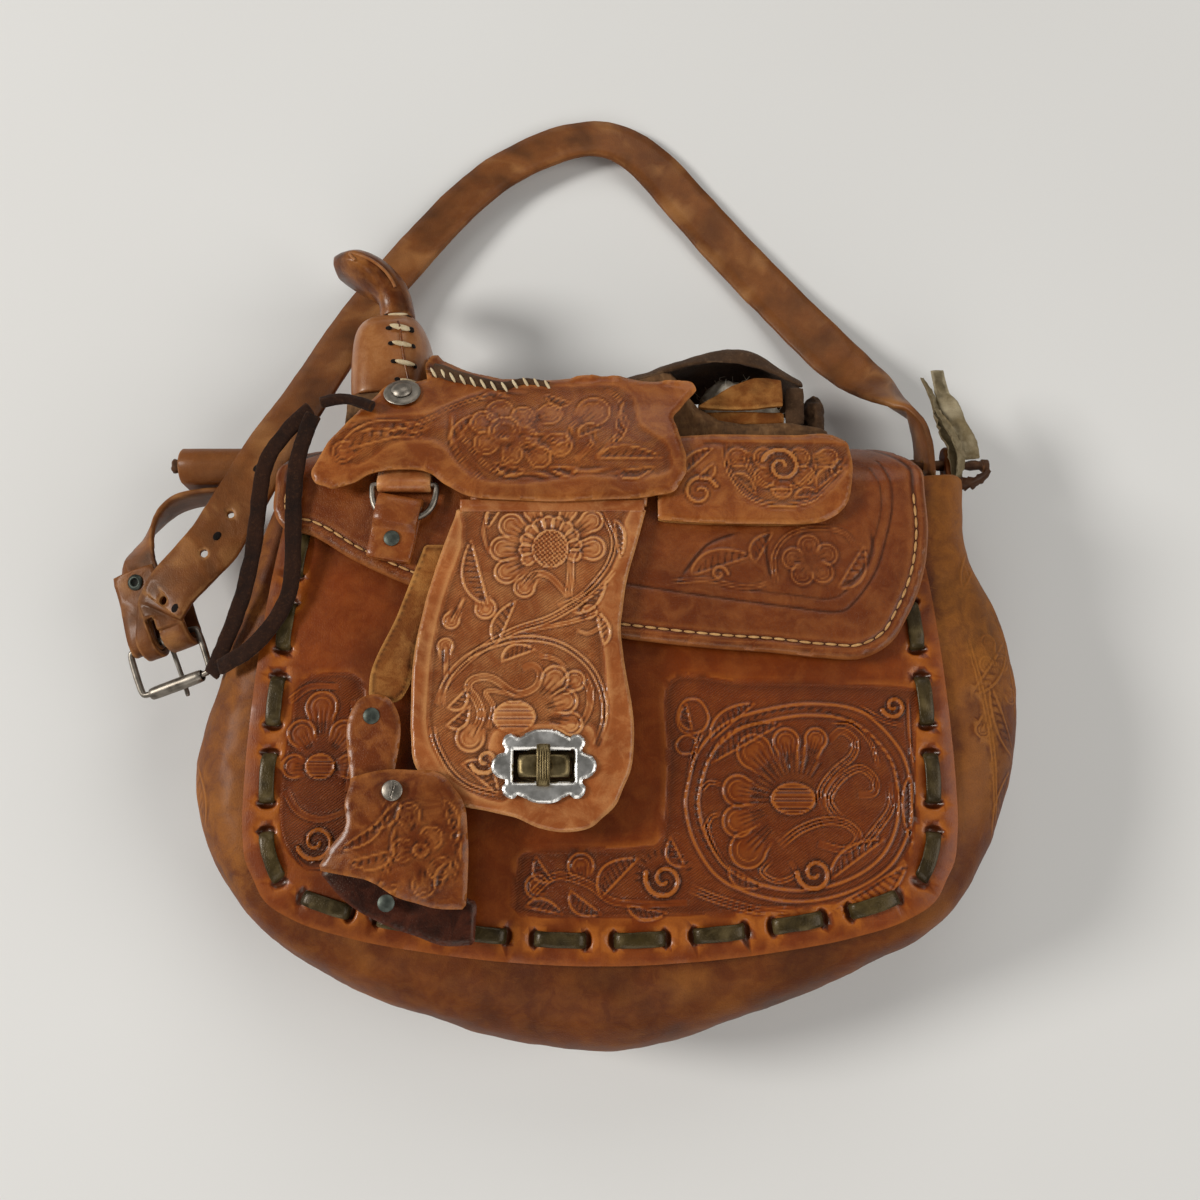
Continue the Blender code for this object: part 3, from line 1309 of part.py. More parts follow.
def build_roots():
    """Leather lugs inside the gusset's ends, the pins through them, and the rawhide thong."""
    lugs = []
    pins = []
    right_span = [strap_spread - inset for inset in right_root_insets]
    left_span = [inset - strap_spread for inset in left_root_insets]
    places = (("right", strap_spread - right_lug_inset, right_span), ("left", left_lug_inset - strap_spread, left_span))
    for name, x, span in places:
        near, far = gusset_top - lug_inside, pivot_y + lug_outside
        depth = lug_half_depth
        edge = [(near, -depth), (far - depth / 2, -depth), (far, -depth / 2), (far, depth / 2),
                (far - depth / 2, depth), (near, depth)]
        mesh = bmesh.new()
        rows = [[mesh.verts.new((x + side * lug_leather / 2, y, pivot_z + z)) for y, z in edge] for side in (-1, 1)]
        for k in range(len(edge)):
            after = (k + 1) % len(edge)
            mesh.faces.new((rows[0][k], rows[0][after], rows[1][after], rows[1][k]))
        mesh.faces.new(rows[0])
        mesh.faces.new(rows[1])
        lug = finish(name + "_lug", mesh, leather_gusset)
        axis = Matrix.Translation((x, pivot_y, pivot_z)) @ Matrix.Rotation(math.pi / 2, 4, "Y")
        hole = rod_mesh((0, 0, 0), pin_radius + pin_clearance, cut_overrun * 2, axis)
        cut(lug, cutter(name + "_lug_cutter", hole))
        lugs.append(lug)
        low, high = min(span), max(span)
        knot = pin_knot_radius
        profile = [(0, low - knot), (knot, low - knot), (knot, low), (pin_radius, low), (pin_radius, high),
                   (knot, high), (knot, high + knot), (0, high + knot)]
        axis = Matrix.Translation((0, pivot_y, pivot_z)) @ Matrix.Rotation(math.pi / 2, 4, "Y")
        pins.append(turned(name + "_root_lace", profile, leather_lace, axis, segments=10))
    thong = flat_band("rawhide_thong", rawhide_route, rawhide_width, rawhide_leather, rawhide, steps=2)
    return lugs, pins, thong


for old in list(bpy.data.objects):
    bpy.data.objects.remove(old, do_unlink=True)

cutter_look = material("cutter", (0.5, 0.5, 0.5), 0.5)
leather_front = material("front_leather", (0.19, 0.075, 0.018), 0.45)
leather_back = material("back_leather", (0.20, 0.09, 0.035), 0.6)
leather_gusset = material("gusset_leather", (0.26, 0.13, 0.05), 0.65)
leather_skirt = material("skirt_leather", (0.20, 0.075, 0.03), 0.45)
leather_jockey = material("jockey_leather", (0.24, 0.10, 0.04), 0.45)
leather_fender = material("fender_leather", (0.30, 0.13, 0.055), 0.4)
leather_stirrup = material("stirrup_leather", (0.19, 0.06, 0.015), 0.4)
leather_rough = material("rough_leather", (0.30, 0.17, 0.08), 0.85)
leather_strap = material("strap_leather", (0.21, 0.09, 0.035), 0.6)
leather_swell = material("swell_leather", (0.28, 0.13, 0.06), 0.4)
leather_horn = material("horn_leather", (0.22, 0.10, 0.04), 0.4)
leather_lace = material("root_lace_leather", (0.11, 0.05, 0.03), 0.7)
suede_dark = material("seat_suede", (0.030, 0.018, 0.011), 0.95)
lace_olive = material("edge_lace_leather", (0.065, 0.045, 0.012), 0.55)
lace_cream = material("swell_lace_leather", (0.55, 0.42, 0.26), 0.6)
rawhide = material("rawhide", (0.23, 0.19, 0.10), 0.8)
padding_tan = material("tree_padding", (0.24, 0.15, 0.08), 0.9)
padding_white = material("cotton_padding", (0.55, 0.50, 0.42), 0.95)
lock_silver = material("lock_plate_metal", (0.42, 0.40, 0.36), 0.3, 1.0)
lock_brass = material("lock_brass", (0.36, 0.29, 0.17), 0.4, 1.0)
steel = material("buckle_steel", (0.35, 0.34, 0.31), 0.35, 1.0)
rivet_dark = material("rivet_metal", (0.12, 0.13, 0.12), 0.45, 1.0)

back_panel, front_panel = build_panels()
belly = build_gusset()
build_lacing(front_panel, belly)
skirt, hinge_leaf = build_skirt()
jockeys = build_jockeys()
fender, lock_plate, fender_root = build_fender()
lock_boss, lock_washer, lock_knob = build_lock()
dee_ring, dee_loop, dee_keeper, keeper_rivet = build_dee()
stirrup = build_stirrup()
tree = build_tree()
seat = build_seat()
swell = build_swell()
concho = build_concho()
cantle = build_cantle()
strings = build_strings()
strap = build_strap()
billet = build_billet()
buckle = build_buckle(strap, billet[0])
build_roots()

lid_pieces = [skirt, *jockeys, fender_root, dee_loop, tree, seat, *swell, *concho, *cantle, *strings]
hang(lid_pieces, "lid_hinge_axis", (0, hinge_y, hinge_z))
fender_top = face_height(fender_centre[0], fender_hinge_y) + fender_lift + fender_leather
hang([fender, lock_plate, stirrup[0]], "fender_axis", (0, fender_hinge_y, fender_top))
hang([lock_knob], "lock_axis", (*lock_centre, plate_level()))
hang([dee_ring, dee_keeper, keeper_rivet], "dee_axis", (*dee_axis, face_height(*dee_axis) + dee_lift))
stirrup_axis = (hanger_centre[0], stirrup_axis_y, face_height(hanger_centre[0], stirrup_axis_y) + hanger_lift)
hang(stirrup[1:], "stirrup_axis", stirrup_axis)
hang([strap, *billet], "strap_axis", (0, pivot_y, pivot_z))
hang([buckle[0]], "buckle_axis", buckle_centre)
hang([buckle[1]], "roller_axis", buckle_place @ Vector((0, -buckle_reach, 0)))
hang([buckle[2]], "prong_axis", buckle_centre)
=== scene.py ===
# The looks of a tooled leather shoulder bag shaped like a saddle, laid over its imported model
import json
import math
import random

import bmesh
import bpy
import numpy as np
from mathutils import Matrix, Vector, noise
from mathutils.bvhtree import BVHTree
from mathutils.kdtree import KDTree


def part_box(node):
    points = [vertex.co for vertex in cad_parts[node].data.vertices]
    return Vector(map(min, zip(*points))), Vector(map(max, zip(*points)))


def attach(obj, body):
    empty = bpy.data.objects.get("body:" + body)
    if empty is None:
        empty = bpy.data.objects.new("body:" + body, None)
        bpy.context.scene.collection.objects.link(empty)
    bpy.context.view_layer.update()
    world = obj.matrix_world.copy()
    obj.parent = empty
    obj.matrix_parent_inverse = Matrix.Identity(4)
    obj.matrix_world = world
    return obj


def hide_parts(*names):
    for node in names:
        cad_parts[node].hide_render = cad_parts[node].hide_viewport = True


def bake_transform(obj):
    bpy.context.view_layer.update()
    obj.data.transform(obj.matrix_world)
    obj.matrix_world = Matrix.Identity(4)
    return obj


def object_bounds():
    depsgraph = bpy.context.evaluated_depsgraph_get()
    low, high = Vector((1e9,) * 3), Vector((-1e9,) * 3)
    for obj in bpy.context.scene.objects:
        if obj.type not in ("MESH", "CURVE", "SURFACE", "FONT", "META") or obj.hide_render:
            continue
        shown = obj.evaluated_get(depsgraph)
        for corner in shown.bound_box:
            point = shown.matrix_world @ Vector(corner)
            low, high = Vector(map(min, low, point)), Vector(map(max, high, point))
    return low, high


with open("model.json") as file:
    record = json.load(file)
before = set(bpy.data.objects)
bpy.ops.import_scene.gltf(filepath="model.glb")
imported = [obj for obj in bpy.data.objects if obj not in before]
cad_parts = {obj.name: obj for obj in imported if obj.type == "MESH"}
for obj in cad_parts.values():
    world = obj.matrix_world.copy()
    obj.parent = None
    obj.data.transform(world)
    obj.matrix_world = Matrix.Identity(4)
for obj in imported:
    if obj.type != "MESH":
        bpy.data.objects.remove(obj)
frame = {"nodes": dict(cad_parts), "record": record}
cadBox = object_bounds()
print("frame loaded:", len(frame["nodes"]), "nodes")

# The photograph's view: a lens, a tilt and a distance to the point that it aims at
view = {"imageSize": 1200, "focalPixels": 1178, "tilt": math.radians(12), "distance": 0.470,
        "aim": (0.0, 0.040, 0.080), "pixelsPerMillimetre": 2.5}
viewPoint = Vector((view["aim"][0], view["aim"][1] - view["distance"] * math.sin(view["tilt"]),
                    view["aim"][2] + view["distance"] * math.cos(view["tilt"])))


def atPixel(px, py, height):
    # The point of a level plane that shows at a pixel of the photograph
    a, b, f = px - view["imageSize"] / 2, view["imageSize"] / 2 - py, view["focalPixels"]
    s, c = math.sin(view["tilt"]), math.cos(view["tilt"])
    ray = Vector((a, s * f + c * b, -c * f + s * b))
    return viewPoint + ray * ((height - viewPoint.z) / ray.z)


def shade(red, green, blue):
    # A display colour made linear
    return tuple((v / 255 / 12.92) if v < 11 else ((v / 255 + 0.055) / 1.055) ** 2.4 for v in (red, green, blue))


# A node's socket that can be added, subtracted and multiplied, each time with a Math node
class Link:
    def __init__(self, look, socket):
        self.look, self.socket = look, socket

    def maths(self, operation, other, swap=False):
        pair = (other, self) if swap else (self, other)
        return self.look.node("ShaderNodeMath", {"operation": operation}, {0: pair[0], 1: pair[1]})

    def __add__(self, other):
        return self.maths("ADD", other)

    def __sub__(self, other):
        return self.maths("SUBTRACT", other)

    def __rsub__(self, other):
        return self.maths("SUBTRACT", other, swap=True)

    def __mul__(self, other):
        return self.maths("MULTIPLY", other)

    __radd__, __rmul__ = __add__, __mul__


# A material and its nodes
class Look:
    def __init__(self, name):
        self.material = bpy.data.materials.new(name)
        self.material.use_nodes = True
        self.tree = self.material.node_tree
        self.surface = self.tree.nodes["Principled BSDF"]
        self.place = self.node("ShaderNodeTexCoord", {}, {}, "Object")

    def node(self, kind, settings, inputs, output=0):
        made = self.tree.nodes.new(kind)
        for key, value in settings.items():
            setattr(made, key, value)
        for key, value in inputs.items():
            if isinstance(value, Link):
                self.tree.links.new(value.socket, made.inputs[key])
            else:
                made.inputs[key].default_value = value
        return Link(self, made.outputs[output])

    def grain(self, scale, detail=4.0, roughness=0.55, twist=0.0, place=None):
        return self.node("ShaderNodeTexNoise", {}, {"Vector": place or self.place, "Scale": scale, "Detail": detail,
                                                    "Roughness": roughness, "Distortion": twist}, "Fac")

    def cells(self, scale):
        return self.node("ShaderNodeTexVoronoi", {}, {"Vector": self.place, "Scale": scale}, "Distance")

    def stretched(self, scale, turn=(0.0, 0.0, 0.0)):
        return self.node("ShaderNodeMapping", {}, {"Vector": self.place, "Scale": scale, "Rotation": turn}, "Vector")

    def attribute(self, name):
        return self.node("ShaderNodeAttribute", {"attribute_name": name}, {}, "Fac")

    def spread(self, value, low, high):
        # 0 below low, 1 above high
        return self.node("ShaderNodeMapRange", {"clamp": True}, {0: value, 1: low, 2: high, 3: 0.0, 4: 1.0})

    def tint(self, share, first, second):
        # The first colour where the share is 0, the second where it is 1
        ends = [value if isinstance(value, Link) else (*value, 1) for value in (first, second)]
        return self.node("ShaderNodeMix", {"data_type": "RGBA"}, {0: share, 6: ends[0], 7: ends[1]}, 2)

    def finish(self, color, roughness, relief=None, depth=0.0002, strength=0.7, **fixed):
        bump = {} if relief is None else {
            "Normal": self.node("ShaderNodeBump", {}, {"Height": relief, "Distance": depth, "Strength": strength})}
        for key, value in {"Base Color": color, "Roughness": roughness, **bump, **fixed}.items():
            socket = self.surface.inputs[key.replace("_", " ")]
            if isinstance(value, Link):
                self.tree.links.new(value.socket, socket)
            elif key == "Base Color":
                socket.default_value = (*value, 1)
            else:
                socket.default_value = value
        return self.material


def leatherLook(name, base, dark, pale, rough=0.46, mottle=0.5, pebble=0.35, scuff=0.25, gloss=0.12, stippled=False,
                lines=0.0):
    # Vegetable-tanned leather: painted shade in its hollows, a painted highlight on its ridges, and pale where it is
    # worn
    look = Look(name)
    clouds = look.grain(34, 5, 0.6)
    patches = look.grain(120, 4, 0.65, 0.6)
    fine = look.grain(1500, 3, 0.6)
    pores = look.cells(1350)
    scratches = look.grain(1, 5, 0.62, 1.2, place=look.stretched((60, 620, 300), (0, 0, 0.35)))
    color = look.tint(look.spread(clouds, 0.32, 0.70), dark, base)
    color = look.tint(look.spread(patches, 0.42, 0.78) * (0.55 * mottle), color, pale)
    color = look.tint(look.spread(patches, 0.55, 0.25) * (0.6 * mottle), color, dark)
    # Painted shade: darker where the relief is cut down; painted highlight: paler where it stands up
    shade_and_highlight = look.attribute("shade_and_highlight")
    color = look.tint(look.spread(shade_and_highlight, 0.0, -0.24) * 0.85, color, tuple(v * 0.30 for v in dark))
    color = look.tint(look.spread(shade_and_highlight, 0.04, 0.24) * 0.68, color, pale)
    worn = look.spread(look.attribute("rim") + (patches - 0.5) * 0.9, 0.45, 1.05)
    color = look.tint(worn * scuff * 2.0, color, pale)
    color = look.tint(look.spread(scratches, 0.66, 0.78) * scuff, color, pale)
    color = look.tint(look.spread(fine, 0.62, 0.35) * 0.16, color, tuple(v * 0.5 for v in dark))
    relief = fine * 0.35 + look.spread(pores, 0.0, 0.55) * pebble + scratches * 0.35 + patches * 0.3
    if stippled:
        ground = look.attribute("ground")
        dots = look.node("ShaderNodeTexWave", {"bands_direction": "X"}, {
            "Vector": look.stretched((1, 1, 1), (0, 0, 0.95)), "Scale": 330, "Distortion": 3.5, "Detail": 3,
            "Detail Scale": 1.6}, "Fac")
        relief = relief + dots * ground * 2.6
        color = look.tint(look.spread(dots, 0.60, 0.1) * ground * 0.60, color, tuple(v * 0.5 for v in dark))
    if lines:
        ribs = look.grain(1, 3, 0.6, 0.8, place=look.stretched((900, 60, 300), (0, 0, 0.3)))
        relief = relief + ribs * lines
    roughness = look.spread(patches, 0.2, 0.8) * 0.16 + (rough - 0.08) + worn * 0.2
    return look.finish(color, roughness, relief, 0.00035, 0.6, Coat_Weight=gloss, Coat_Roughness=0.22,
                       Specular_IOR_Level=0.30, Specular_Tint=(1.0, 0.82, 0.62, 1))


def suedeLook(name, base, dark, pale, nap=0.8):
    # Rough suede: no gloss, short nap, rubbed edges and painted shade in its dips
    look = Look(name)
    clouds = look.grain(60, 5, 0.65)
    fuzz = look.grain(2400, 3, 0.7)
    tufts = look.grain(700, 4, 0.7, 0.5)
    color = look.tint(look.spread(clouds, 0.3, 0.72), dark, base)
    color = look.tint(look.spread(tufts, 0.52, 0.80) * 0.45, color, pale)
    worn = look.spread(look.attribute("rim") + (clouds - 0.5) * 0.8, 0.5, 1.05)
    color = look.tint(worn * 0.75, color, pale)
    # Painted shade where the surface dips
    color = look.tint(look.spread(look.attribute("shade_and_highlight"), 0.0, -0.3) * 0.8, color, tuple(v * 0.35 for v in dark))
    return look.finish(color, 0.95, fuzz * nap + tufts * 0.8, 0.00045, 0.8, Sheen_Weight=0.05,
                       Specular_IOR_Level=0.2)


def metalLook(name, base, dark, rough=0.32, brush=0.5, stain=0.5):
    # Plated metal with a handled, slightly stained face and painted shade in its grooves
    look = Look(name)
    clouds = look.grain(150, 5, 0.6)
    specks = look.grain(900, 4, 0.7)
    hair = look.grain(1, 3, 0.6, place=look.stretched((2600, 240, 900), (0, 0, 0.2)))
    color = look.tint(look.spread(clouds, 0.35, 0.72), dark, base)
    color = look.tint(look.spread(specks, 0.60, 0.78) * stain, color, tuple(v * 0.35 for v in dark))
    # Painted shade in the grooves and dips of the surface
    color = look.tint(look.spread(look.attribute("shade_and_highlight"), 0.0, -0.25) * 0.8, color, tuple(v * 0.3 for v in dark))
    roughness = look.spread(clouds, 0.25, 0.75) * 0.18 + rough + specks * 0.08
    return look.finish(color, roughness, hair * brush + clouds * 0.8, 0.00012, 0.5, Metallic=1.0)


def clothLook(name, base, dark, pale, scale=1400, rough=0.85, depth=0.00025):
    # Thread, lacing, fluff and padding, with painted shade in their dips
    look = Look(name)
    clouds = look.grain(260, 4, 0.6)
    fibres = look.grain(1, 4, 0.65, 0.5, place=look.stretched((scale, scale * 0.3, scale), (0, 0, 0.6)))
    color = look.tint(look.spread(clouds, 0.3, 0.7), dark, base)
    color = look.tint(look.spread(fibres, 0.5, 0.8) * 0.5, color, pale)
    # Painted shade where the surface dips
    color = look.tint(look.spread(look.attribute("shade_and_highlight"), 0.0, -0.3) * 0.8, color, tuple(v * 0.3 for v in dark))
    return look.finish(color, rough, fibres, depth, 0.8, Specular_IOR_Level=0.3)


looks = {
    "front": leatherLook("front_leather", shade(126, 52, 3), shade(96, 36, 2), shade(178, 100, 31), 0.42,
                         mottle=0.4, pebble=0.15, scuff=0.18, gloss=0.28, stippled=True, lines=0.25),
    "back": leatherLook("back_leather", shade(126, 66, 23), shade(101, 48, 13), shade(177, 115, 59), 0.55,
                        mottle=0.6, scuff=0.3, gloss=0.05),
    "gusset": leatherLook("gusset_leather", shade(113, 54, 9), shade(81, 31, 3), shade(165, 103, 42), 0.58,
                          mottle=0.5, pebble=0.5, scuff=0.35, gloss=0.04),
    "skirt": leatherLook("skirt_leather", shade(125, 59, 18), shade(94, 38, 8), shade(175, 108, 53), 0.42,
                         mottle=0.55, pebble=0.5, scuff=0.30, gloss=0.26),
    "jockey": leatherLook("jockey_leather", shade(145, 73, 23), shade(110, 50, 14), shade(196, 128, 63), 0.42,
                          mottle=0.8, pebble=0.3, scuff=0.26, gloss=0.28, stippled=True),
    "fender": leatherLook("fender_leather", shade(174, 99, 48), shade(133, 68, 29), shade(223, 163, 102), 0.38,
                          mottle=0.7, pebble=0.25, scuff=0.34, gloss=0.40, stippled=True),
    "stirrup": leatherLook("stirrup_leather", shade(126, 59, 14), shade(85, 32, 5), shade(183, 113, 50), 0.42,
                           mottle=0.9, pebble=0.3, scuff=0.24, gloss=0.28, stippled=True),
    "rough": leatherLook("rough_leather", shade(142, 83, 29), shade(105, 53, 14), shade(192, 138, 75), 0.80,
                         mottle=1.0, pebble=0.7, scuff=0.40, gloss=0.0),
    "strap": leatherLook("strap_leather", shade(130, 75, 31), shade(97, 51, 18), shade(182, 128, 74), 0.52,
                         mottle=0.22, pebble=0.4, scuff=0.36, gloss=0.10, lines=0.35),
    "swell": leatherLook("swell_leather", shade(168, 108, 57), shade(125, 69, 32), shade(211, 162, 111), 0.36,
                         mottle=0.5, pebble=0.15, scuff=0.15, gloss=0.25),
    "horn": leatherLook("horn_leather", shade(116, 56, 13), shade(78, 33, 5), shade(176, 114, 55), 0.38,
                        mottle=0.9, pebble=0.3, scuff=0.30, gloss=0.22),
    "rootLace": leatherLook("root_lace_leather", shade(86, 52, 31), shade(52, 27, 15), shade(140, 98, 67), 0.65),
    "suede": suedeLook("seat_suede", shade(88, 62, 40), shade(54, 36, 22), shade(134, 104, 74)),
    "edgeLace": leatherLook("edge_lace_leather", shade(66, 53, 24), shade(38, 29, 11), shade(116, 100, 66), 0.36,
                            mottle=0.6, pebble=0.3, scuff=0.3, gloss=0.12),
    "cream": clothLook("cream_lacing", shade(224, 206, 168), shade(188, 164, 124), shade(244, 234, 208), 1100, 0.6),
    "thread": clothLook("cream_thread", shade(206, 160, 102), shade(162, 112, 62), shade(232, 200, 150), 2600, 0.8),
    "rawhide": leatherLook("rawhide", shade(138, 122, 90), shade(98, 85, 60), shade(188, 175, 146), 0.75,
                           mottle=1.0, pebble=0.6, scuff=0.35, gloss=0.0),
    "fluff": clothLook("cotton_fluff", shade(214, 204, 186), shade(168, 152, 130), shade(246, 242, 232), 900, 0.95),
    "core": clothLook("tree_padding", shade(120, 84, 50), shade(76, 50, 28), shade(160, 122, 82), 500, 0.9),
    "plate": metalLook("lock_plate_metal", shade(240, 238, 234), shade(200, 197, 190), 0.22, 0.3, 0.2),
    "tread": leatherLook("tread_leather", shade(45, 6, 1), shade(26, 2, 0), shade(100, 43, 19), 0.40,
                         mottle=0.9, pebble=0.3, scuff=0.26, gloss=0.16, stippled=True),
    "string": suedeLook("string_suede", shade(50, 25, 10), shade(27, 12, 5), shade(92, 58, 32), 0.6),
    "dark": suedeLook("hole_shadow", shade(26, 16, 10), shade(14, 9, 6), shade(40, 26, 18)),
    "brass": metalLook("lock_brass", shade(150, 134, 98), shade(96, 82, 54), 0.32, 0.6, 0.4),
    "steel": metalLook("buckle_steel", shade(168, 160, 148), shade(112, 104, 94), 0.30, 0.5, 0.5),
    "rivet": metalLook("rivet_metal", shade(106, 112, 104), shade(62, 66, 60), 0.38, 0.4, 0.5),
}

print("materials made:", len(looks))

bodyOf = {node: body for body, nodes in frame["record"]["behaviour"]["bodies"].items() for node in nodes}


def dress(name, mesh, look, body, replaced=(), sharp=50):
    # One finished piece, riding on its body
    data = bpy.data.meshes.new(name)
    mesh.to_mesh(data)
    mesh.free()
    return dressData(name, data, look, body, replaced, sharp)


def dressData(name, data, look, body, replaced=(), sharp=50):
    data.materials.clear()
    data.materials.append(looks[look])
    data.shade_smooth()
    data.set_sharp_from_angle(angle=math.radians(sharp))
    made = bpy.data.objects.new(name, data)
    bpy.context.scene.collection.objects.link(made)
    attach(made, body)
    if replaced:
        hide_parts(*replaced)
    return made


def solidOf(node):
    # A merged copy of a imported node
    mesh = bmesh.new()
    mesh.from_mesh(frame["nodes"][node].data)
    bmesh.ops.remove_doubles(mesh, verts=mesh.verts[:], dist=2e-5)
    mesh.normal_update()
    return mesh


def spotsOf(data):
    spots = np.empty(len(data.vertices) * 3, np.float32)
    data.vertices.foreach_get("co", spots)
    return spots.reshape(-1, 3).astype(float)


def normalsOf(data):
    normals = np.empty(len(data.vertices) * 3, np.float32)
    data.vertex_normals.foreach_get("vector", normals)
    return normals.reshape(-1, 3).astype(float)


def setSpots(data, spots):
    data.vertices.foreach_set("co", spots.astype(np.float32).ravel())
    data.update()


def paint(data, name, values):
    layer = data.attributes.get(name) or data.attributes.new(name, "FLOAT", "POINT")
    layer.data.foreach_set("value", np.asarray(values, np.float32))


def rumple(spots, scale, octaves=3, seed=0.0):
    # Smooth noise at each point, about -1 to 1
    return np.array([noise.fractal(Vector((x + seed, y, z)) * scale, 1.0, 2.0, octaves) for x, y, z in spots])


def rounded(node, look, levels=2, crease=0.75, keepAngle=38, wrinkle=0.0, wrinkleScale=60, sharp=60, wear=0.0):
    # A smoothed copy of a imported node, with its hard edges kept as far as its crease says
    mesh = solidOf(node)
    bmesh.ops.join_triangles(mesh, faces=mesh.faces[:], angle_face_threshold=math.radians(18),
                             angle_shape_threshold=math.radians(75))
    layer = mesh.edges.layers.float.get("crease_edge") or mesh.edges.layers.float.new("crease_edge")
    for edge in mesh.edges:
        if len(edge.link_faces) == 2 and edge.calc_face_angle() > math.radians(keepAngle):
            edge[layer] = crease
    data = bpy.data.meshes.new(node)
    mesh.to_mesh(data)
    mesh.free()
    made = bpy.data.objects.new("shaping", data)
    bpy.context.scene.collection.objects.link(made)
    step = made.modifiers.new("smooth", "SUBSURF")
    step.levels = step.render_levels = levels
    finished = bpy.data.meshes.new_from_object(made.evaluated_get(bpy.context.evaluated_depsgraph_get()))
    bpy.data.objects.remove(made)
    finished.name = node
    spots, normals = spotsOf(finished), normalsOf(finished)
    if wrinkle:
        folds = rumple(spots, wrinkleScale, 4)
        spots += normals * (folds * wrinkle)[:, None]
        setSpots(finished, spots)
        # Painted shade in the dips of the wrinkles and a painted highlight on their crests
        paint(finished, "shade_and_highlight", np.clip(folds * 0.25, -0.3, 0.2))
    if wear:
        paint(finished, "rim", rimShare(finished, wear))
    return dressData(node, finished, look, bodyOf[node], [node], sharp)


def rimShare(data, reach, angle=50):
    # 1 at a hard edge, falling to 0 a little way in
    mesh = bmesh.new()
    mesh.from_mesh(data)
    hard = [e for e in mesh.edges if len(e.link_faces) == 2 and e.calc_face_angle() > math.radians(angle)]
    tree = KDTree(max(len(hard), 1))
    for index, edge in enumerate(hard):
        tree.insert((edge.verts[0].co + edge.verts[1].co) / 2, index)
    tree.balance()
    shares = [max(0.0, 1 - (tree.find(v.co)[2] or reach) / reach) if hard else 0.0 for v in mesh.verts]
    mesh.free()
    return shares


def lengthOf(loop):
    return sum((a - b).length for a, b in zip(loop, loop[1:] + loop[:1]))


def loopsOf(mesh):
    # The outlines of the faces that look up, the longest first
    shell = mesh.copy()
    down = [face for face in shell.faces if face.normal.z < 0.45]
    bmesh.ops.delete(shell, geom=down, context="FACES")
    links = {}
    for edge in shell.edges:
        if edge.is_boundary:
            for vert in edge.verts:
                links.setdefault(vert.index, []).append(edge.other_vert(vert))
    seen, loops = set(), []
    spots = {vert.index: vert.co.copy() for vert in shell.verts}
    for start in links:
        if start in seen:
            continue
        loop, here, before = [], start, None
        while here not in seen:
            seen.add(here)
            loop.append(spots[here].to_2d())
            onward = [vert.index for vert in links[here] if vert.index != before]
            before, here = here, onward[0]
        loops.append(loop)
    shell.free()
    return sorted(loops, key=lengthOf, reverse=True)


def eased(loop, corner=58, pace=0.0004):
    # A smooth curve through an outline, square only at its real corners
    loop = [p for k, p in enumerate(loop) if (p - loop[k - 1]).length > 1e-4]
    count = len(loop)
    ins, outs = [], []
    for k, here in enumerate(loop):
        before, after = loop[k - 1], loop[(k + 1) % count]
        into, out = here - before, after - here
        if into.angle(out, 0) > math.radians(corner):
            ins.append(into.normalized())
            outs.append(out.normalized())
        else:
            turn = (into.normalized() * out.length + out.normalized() * into.length).normalized()
            ins.append(turn)
            outs.append(turn)
    curve = []
    for k, here in enumerate(loop):
        there = loop[(k + 1) % count]
        span = (there - here).length
        steps = max(1, int(span / pace))
        a, b = outs[k] * span, ins[(k + 1) % count] * span
        for step in range(steps):
            t = step / steps
            curve.append(here * (2 * t ** 3 - 3 * t ** 2 + 1) + a * (t ** 3 - 2 * t ** 2 + t)
                         + there * (3 * t ** 2 - 2 * t ** 3) + b * (t ** 3 - t ** 2))
    return curve


def inside(spots, loop):
    # Even-odd test of many points against one outline
    x, y = spots[:, 0], spots[:, 1]
    result = np.zeros(len(spots), bool)
    for a, b in zip(loop, loop[1:] + loop[:1]):
        if a.y != b.y:
            crosses = (a.y > y) != (b.y > y)
            result ^= crosses & (x < a.x + (b.x - a.x) * (y - a.y) / (b.y - a.y))
    return result


def insetRoute(loop, inset, stride=4, reach=6):
    # The outline moved inwards, as a line of points
    made = []
    count = len(loop)
    for k in range(0, count, stride):
        along = (loop[(k + reach) % count] - loop[k - reach]).normalized()
        made.append(loop[k] + Vector((-along.y, along.x)) * inset)
    return made


def smoothRoute(points, steps=6, closed=False):
    # A smooth curve through the given points
    made = []
    count = len(points)
    for k in range(count if closed else count - 1):
        if closed:
            a, b, c, d = (points[(k + j) % count] for j in (-1, 0, 1, 2))
        else:
            a, b, c, d = points[max(k - 1, 0)], points[k], points[k + 1], points[min(k + 2, count - 1)]
        for step in range(steps):
            t = step / steps
            made.append(0.5 * (2 * b + (c - a) * t + (2 * a - 5 * b + 4 * c - d) * t ** 2
                               + (3 * b - a - 3 * c + d) * t ** 3))
    return made if closed else made + [points[-1]]


